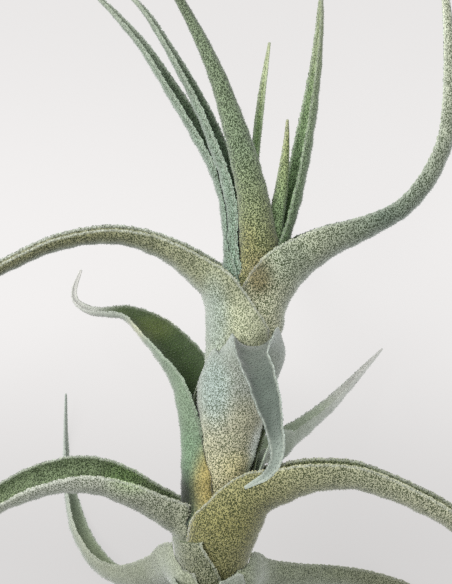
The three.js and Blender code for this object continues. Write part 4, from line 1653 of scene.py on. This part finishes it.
@dataclass
class StemAndRoots:
    """The bare foot of the stem, with the scars of shed leaves, and its wiry roots.

    Attributes:
        scar_mm: From one scar to the next, in a screw round the stem.
        scars_full_at: Height where the scars have their full depth.
        rough_mm: How uneven the stem is.
        root_sizes: The least and greatest share of a root's radius.
        kink_mm: How far a root kinks at its tip.
        kink_turns: How often it kinks.
        kink_phases: The range its kinks begin in.
        foot_blunt: How much blunter a rod's foot is than its tip.
        strip_fill: How much of its strip of the bake's map a rod takes up.
        cap_strip: Height of its end caps there.
    """

    axis: StemAxis
    place: Place
    finish: Material
    sides: int = 20
    step_mm: float = 0.7
    scar_mm: float = 2.6
    scar_depth: float = 0.22
    scars_full_at: float = -110.0
    rough_mm: float = 0.04
    root_radius: float = 0.6
    root_tip: float = 0.35
    root_sides: int = 9
    root_rings: int = 48
    root_sizes: Pair = (0.88, 1.12)
    kink_mm: float = 0.25
    kink_turns: float = 23.0
    kink_phases: float = 6.0
    foot_blunt: float = 3.0
    strip_fill: float = 0.96
    cap_strip: float = 0.001
    room_rings: int = 40
    clearance: float = 0.3
    roots: tuple[tuple[Triple, ...], ...] = (
        ((-6.5, -122, -5), (-11, -126, -7), (-17, -132, -12), (-21, -140, -14)),
        ((-5.5, -124, -5), (-3, -131, -9), (1, -138, -15), (2, -148, -18)),
        ((-5.5, -127, -5), (-8, -134, -4), (-9, -143, 0), (-13, -151, 3)),
        ((-5, -129, -6), (-1, -135, -3), (6, -140, -1), (14, -142, -4)),
    )

    def rod(
        self, centres: np.ndarray, directions: np.ndarray, radii: np.ndarray, first: int = 0
    ) -> tuple[np.ndarray, list, np.ndarray]:
        """A round rod with closed ends.

        Args:
            centres: The middles of its rings.
            directions: Its direction at each.
            radii: Its radius for each vertex of each ring.
            first: Number of its first vertex.

        Returns:
            Its vertices, its faces and the corners' places on the bake's map.
        """
        rings, sides = radii.shape
        across = unit(np.cross(directions, [0.0, 0.0, 1.0]))
        up = np.cross(across, directions)
        angle = np.linspace(0, 2 * math.pi, sides, endpoint=False)
        ring = (across[:, None, :] * np.cos(angle)[None, :, None]
                + up[:, None, :] * np.sin(angle)[None, :, None])
        points = (centres[:, None, :] + ring * radii[:, :, None]).reshape(-1, 3)
        tip = centres[-1] + directions[-1] * radii[-1].mean()
        foot = centres[0] - directions[0] * radii[0].mean() / self.foot_blunt
        faces = loft_faces(rings, sides, first)
        corners = [(j / sides, i / rings) for i in range(rings - 1) for j in range(sides)]
        steps = ((0, 0), (0, 1), (1, 1), (1, 0))
        uv = [(x + a / sides, y + b / rings) for x, y in corners for a, b in steps]
        base, last = first + rings * sides, first + (rings - 1) * sides
        for j in range(sides):
            k = (j + 1) % sides
            faces += [(first + j, first + k, base), (last + k, last + j, base + 1)]
            uv += [(j / sides, 0), ((j + 1) / sides, 0), (j / sides, self.cap_strip)] * 2
        return np.vstack([points, foot, tip]), faces, np.array(uv)

    def room(self) -> Piece:
        """Builds the space that the leaves leave the stem.

        Returns:
            A closed object.
        """
        y = np.linspace(self.axis.bottom, self.axis.top, self.room_rings)
        radii = np.repeat((self.axis.radius(y) + self.clearance)[:, None], self.sides, 1)
        points, faces, _ = self.rod(self.axis.centre(y), self.axis.direction(y), radii)
        return new_object("stem_room", self.place.metres(points), faces)

    def build(self, rng: np.random.Generator) -> Piece:
        """Builds the stem and its roots as one piece.

        Args:
            rng: Source of their unevenness.

        Returns:
            The piece.
        """
        y = np.arange(self.axis.bottom, self.axis.top, self.step_mm)
        angle = np.linspace(0, 2 * math.pi, self.sides, endpoint=False)
        scar = (y[:, None] + angle[None, :] / (2 * math.pi) * self.scar_mm) / self.scar_mm % 1
        worn = smoothstep(-y, -self.axis.taper_from, -self.scars_full_at)[:, None]
        rough = rng.normal(0, self.rough_mm, (len(y), self.sides))
        radii = self.axis.radius(y)[:, None] + self.scar_depth * (scar**3 * worn - 0.5) + rough
        parts = [self.rod(self.axis.centre(y), self.axis.direction(y), radii)]
        for path in self.roots:
            parts.append(self._root(np.array(path, float), sum(len(p[0]) for p in parts), rng))
        points, faces = np.vstack([p[0] for p in parts]), sum((p[1] for p in parts), [])
        strip = 1 / len(parts)
        uv = np.vstack([
            p[2] * [strip * self.strip_fill, MAP_SPAN] + [i * strip + MAP_EDGE, MAP_EDGE]
            for i, p in enumerate(parts)])
        made = new_object("stem_and_roots", self.place.metres(points), faces, uv)
        return finished(made, self.finish)

    def _root(
        self, path: np.ndarray, first: int, rng: np.random.Generator
    ) -> tuple[np.ndarray, list, np.ndarray]:
        """One wiry root.

        Args:
            path: The points it passes.
            first: Number of its first vertex.
            rng: Source of its kinks and unevenness.

        Returns:
            Its vertices, its faces and the corners' places on the bake's map.
        """
        at = np.linspace(0, len(path) - 1, self.root_rings)
        centres, slopes = spline(path, at)
        share = at / at[-1]
        kinks = np.stack([
            np.sin(share * self.kink_turns + rng.uniform(0, self.kink_phases)) for _ in range(3)], -1)
        size = lerp(self.root_radius, self.root_tip, share)[:, None]
        size = size * rng.uniform(*self.root_sizes, (len(at), self.root_sides))
        return self.rod(centres + kinks * self.kink_mm * share[:, None], unit(slopes), size, first)


# The setting


@dataclass
class Studio:
    """A plain pale floor, soft light and a camera that looks straight down on the plant.

    Attributes:
        floor_glow: How much of the floor's light is its own, so that shadows on it stay faint.
        near_mm: Heights in the picture between which the floor turns darker, downwards.
        near_tone: How light it is left there.
        far_mm: Heights between which it turns darker upwards.
        far_tone: How light it is left there.
        key_from: Where the lamp stands, in the plant's axes.
        clip_m: Nearest and furthest that the camera sees, in metres.
    """

    place: Place
    floor_mm: float = 3000.0
    floor_tone: Seen = (239, 237, 236)
    floor_roughness: float = 0.6
    floor_glow: float = 0.88
    near_mm: Pair = (-75.0, 0.0)
    near_tone: float = 0.80
    far_mm: Pair = (10.0, 90.0)
    far_tone: float = 0.91
    sky: Triple = (0.96, 0.98, 1.0)
    sky_strength: float = 0.75
    key_watts: float = 5.5
    key_size_mm: float = 420.0
    key_from: Triple = (-420.0, 330.0, 520.0)
    clip_m: Pair = (0.01, 20.0)

    def floor(self) -> Piece:
        """Builds the floor.

        Returns:
            The piece.
        """
        half = self.floor_mm * MM / 2
        corners = np.array([(-half, -half, 0), (half, -half, 0), (half, half, 0), (-half, half, 0)])
        made = new_object("floor", corners, [(0, 1, 2, 3)])
        finish = bpy.data.materials.new("floor")
        graph = Graph.emptied(finish)
        y = graph.add("ShaderNodeSeparateXYZ", {"Vector": graph.place()})["Y"]
        middle = self.place.metres(np.zeros(3))[1]
        # Painted shade: the floor's glow turns darker towards the bottom and the top of the picture.
        near, far = (
            graph.remap(y, tuple(middle + mm * MM for mm in ends), tones, interpolation_type="SMOOTHSTEP")
            for ends, tones in ((self.near_mm, (self.near_tone, 1.0)), (self.far_mm, (1.0, self.far_tone))))
        tone = graph.scaled(tuple(linear(self.floor_tone)), graph.number("MULTIPLY", near, far))
        glow = graph.add("ShaderNodeEmission", {"Color": tone})["Emission"]
        matt = graph.add("ShaderNodeBsdfDiffuse", {"Color": tone, "Roughness": self.floor_roughness})
        both = graph.add("ShaderNodeMixShader", {0: self.floor_glow, 1: matt["BSDF"], 2: glow})
        graph.add("ShaderNodeOutputMaterial", {"Surface": both["Shader"]})
        made.data.materials.append(finish)
        return made

    def lights(self) -> None:
        """Sets up the sky and the large lamp at the upper left."""
        world = bpy.data.worlds.new("sky")
        bpy.context.scene.world = world
        graph = Graph.emptied(world)
        sky = graph.add("ShaderNodeBackground", {"Color": (*self.sky, 1), "Strength": self.sky_strength})
        graph.add("ShaderNodeOutputWorld", {"Surface": sky["Background"]})
        lamp = bpy.data.lights.new("key", "AREA")
        lamp.size = self.key_size_mm * MM
        lamp.energy = self.key_watts
        stand = self._stand("key", lamp, self.key_from)
        aim = Vector(self.place.metres(np.zeros(3))) - stand.location
        stand.rotation_euler = aim.to_track_quat("-Z", "Y").to_euler()

    def camera(self) -> None:
        """Sets up the camera over the middle of the picture."""
        lens = bpy.data.cameras.new("camera")
        long_side = max(FRAME_WIDTH_PX, FRAME_HEIGHT_PX) * PIXEL_MM
        lens.lens = lens.sensor_width * VIEW_DISTANCE / long_side
        lens.clip_start, lens.clip_end = self.clip_m
        bpy.context.scene.camera = self._stand("camera", lens, (0.0, 0.0, VIEW_DISTANCE))

    def _stand(self, name: str, data: bpy.types.ID, at: Triple) -> bpy.types.Object:
        """Stands a lamp or camera in the scene.

        Args:
            name: Its name.
            data: The lamp or camera.
            at: Its place, in the plant's axes.

        Returns:
            The object that holds it.
        """
        made = bpy.data.objects.new(name, data)
        made.location = self.place.metres(np.array(at))
        bpy.context.scene.collection.objects.link(made)
        return made


def report(piece: Piece) -> None:
    """Logs a piece's name and size."""
    LOG.info("%s: %d faces", piece.name, len(piece.data.polygons))


def main() -> None:
    """Builds the plant round its solids and reports each piece."""
    logging.basicConfig(level=logging.INFO, format="%(name)s: %(message)s")
    solid_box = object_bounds()
    place = Place.found(LEAVES, *solid_box)
    bpy.context.scene.view_settings.view_transform = "Standard"
    bpy.context.scene.cycles.use_denoising = False
    rng = np.random.default_rng(SEED)
    axis = StemAxis()
    skin, felt = SkinFinish().material(), ScaleFinish().material()
    papery = FibreFinish("dry_leaf", (176, 156, 124), (112, 92, 66)).material()
    woody = FibreFinish("bare_stem", (134, 116, 92), (74, 60, 46)).material()
    tree = scale_tree(felt)
    stem = StemAndRoots(axis, place, woody)
    skins, rooms = [], [stem.room()]
    for leaf in LEAVES:
        part = LeafSkin(LeafForm(leaf, axis, rng), place, papery if leaf.withered else skin)
        piece = part.build(rooms)
        rooms.append(part.room())
        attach(piece, BODY)
        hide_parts(leaf.name)
        skins.append(part)
        report(piece)
    for room in rooms:
        bpy.data.objects.remove(room)
    leaves = face_tree([part.piece for part in skins])
    for number, part in enumerate(skins):
        if part.form.leaf.withered:
            continue
        scales = LeafScales(part.form, place, tree, felt)
        piece = scales.build(face_tree([part.piece]), leaves, rng, SEED + number)
        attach(piece, BODY)
        report(piece)
    piece = stem.build(rng)
    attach(piece, BODY)
    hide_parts("stem")
    report(piece)
    studio = Studio(place)
    studio.floor()
    studio.lights()
    studio.camera()


if __name__ == "__main__":
    main()
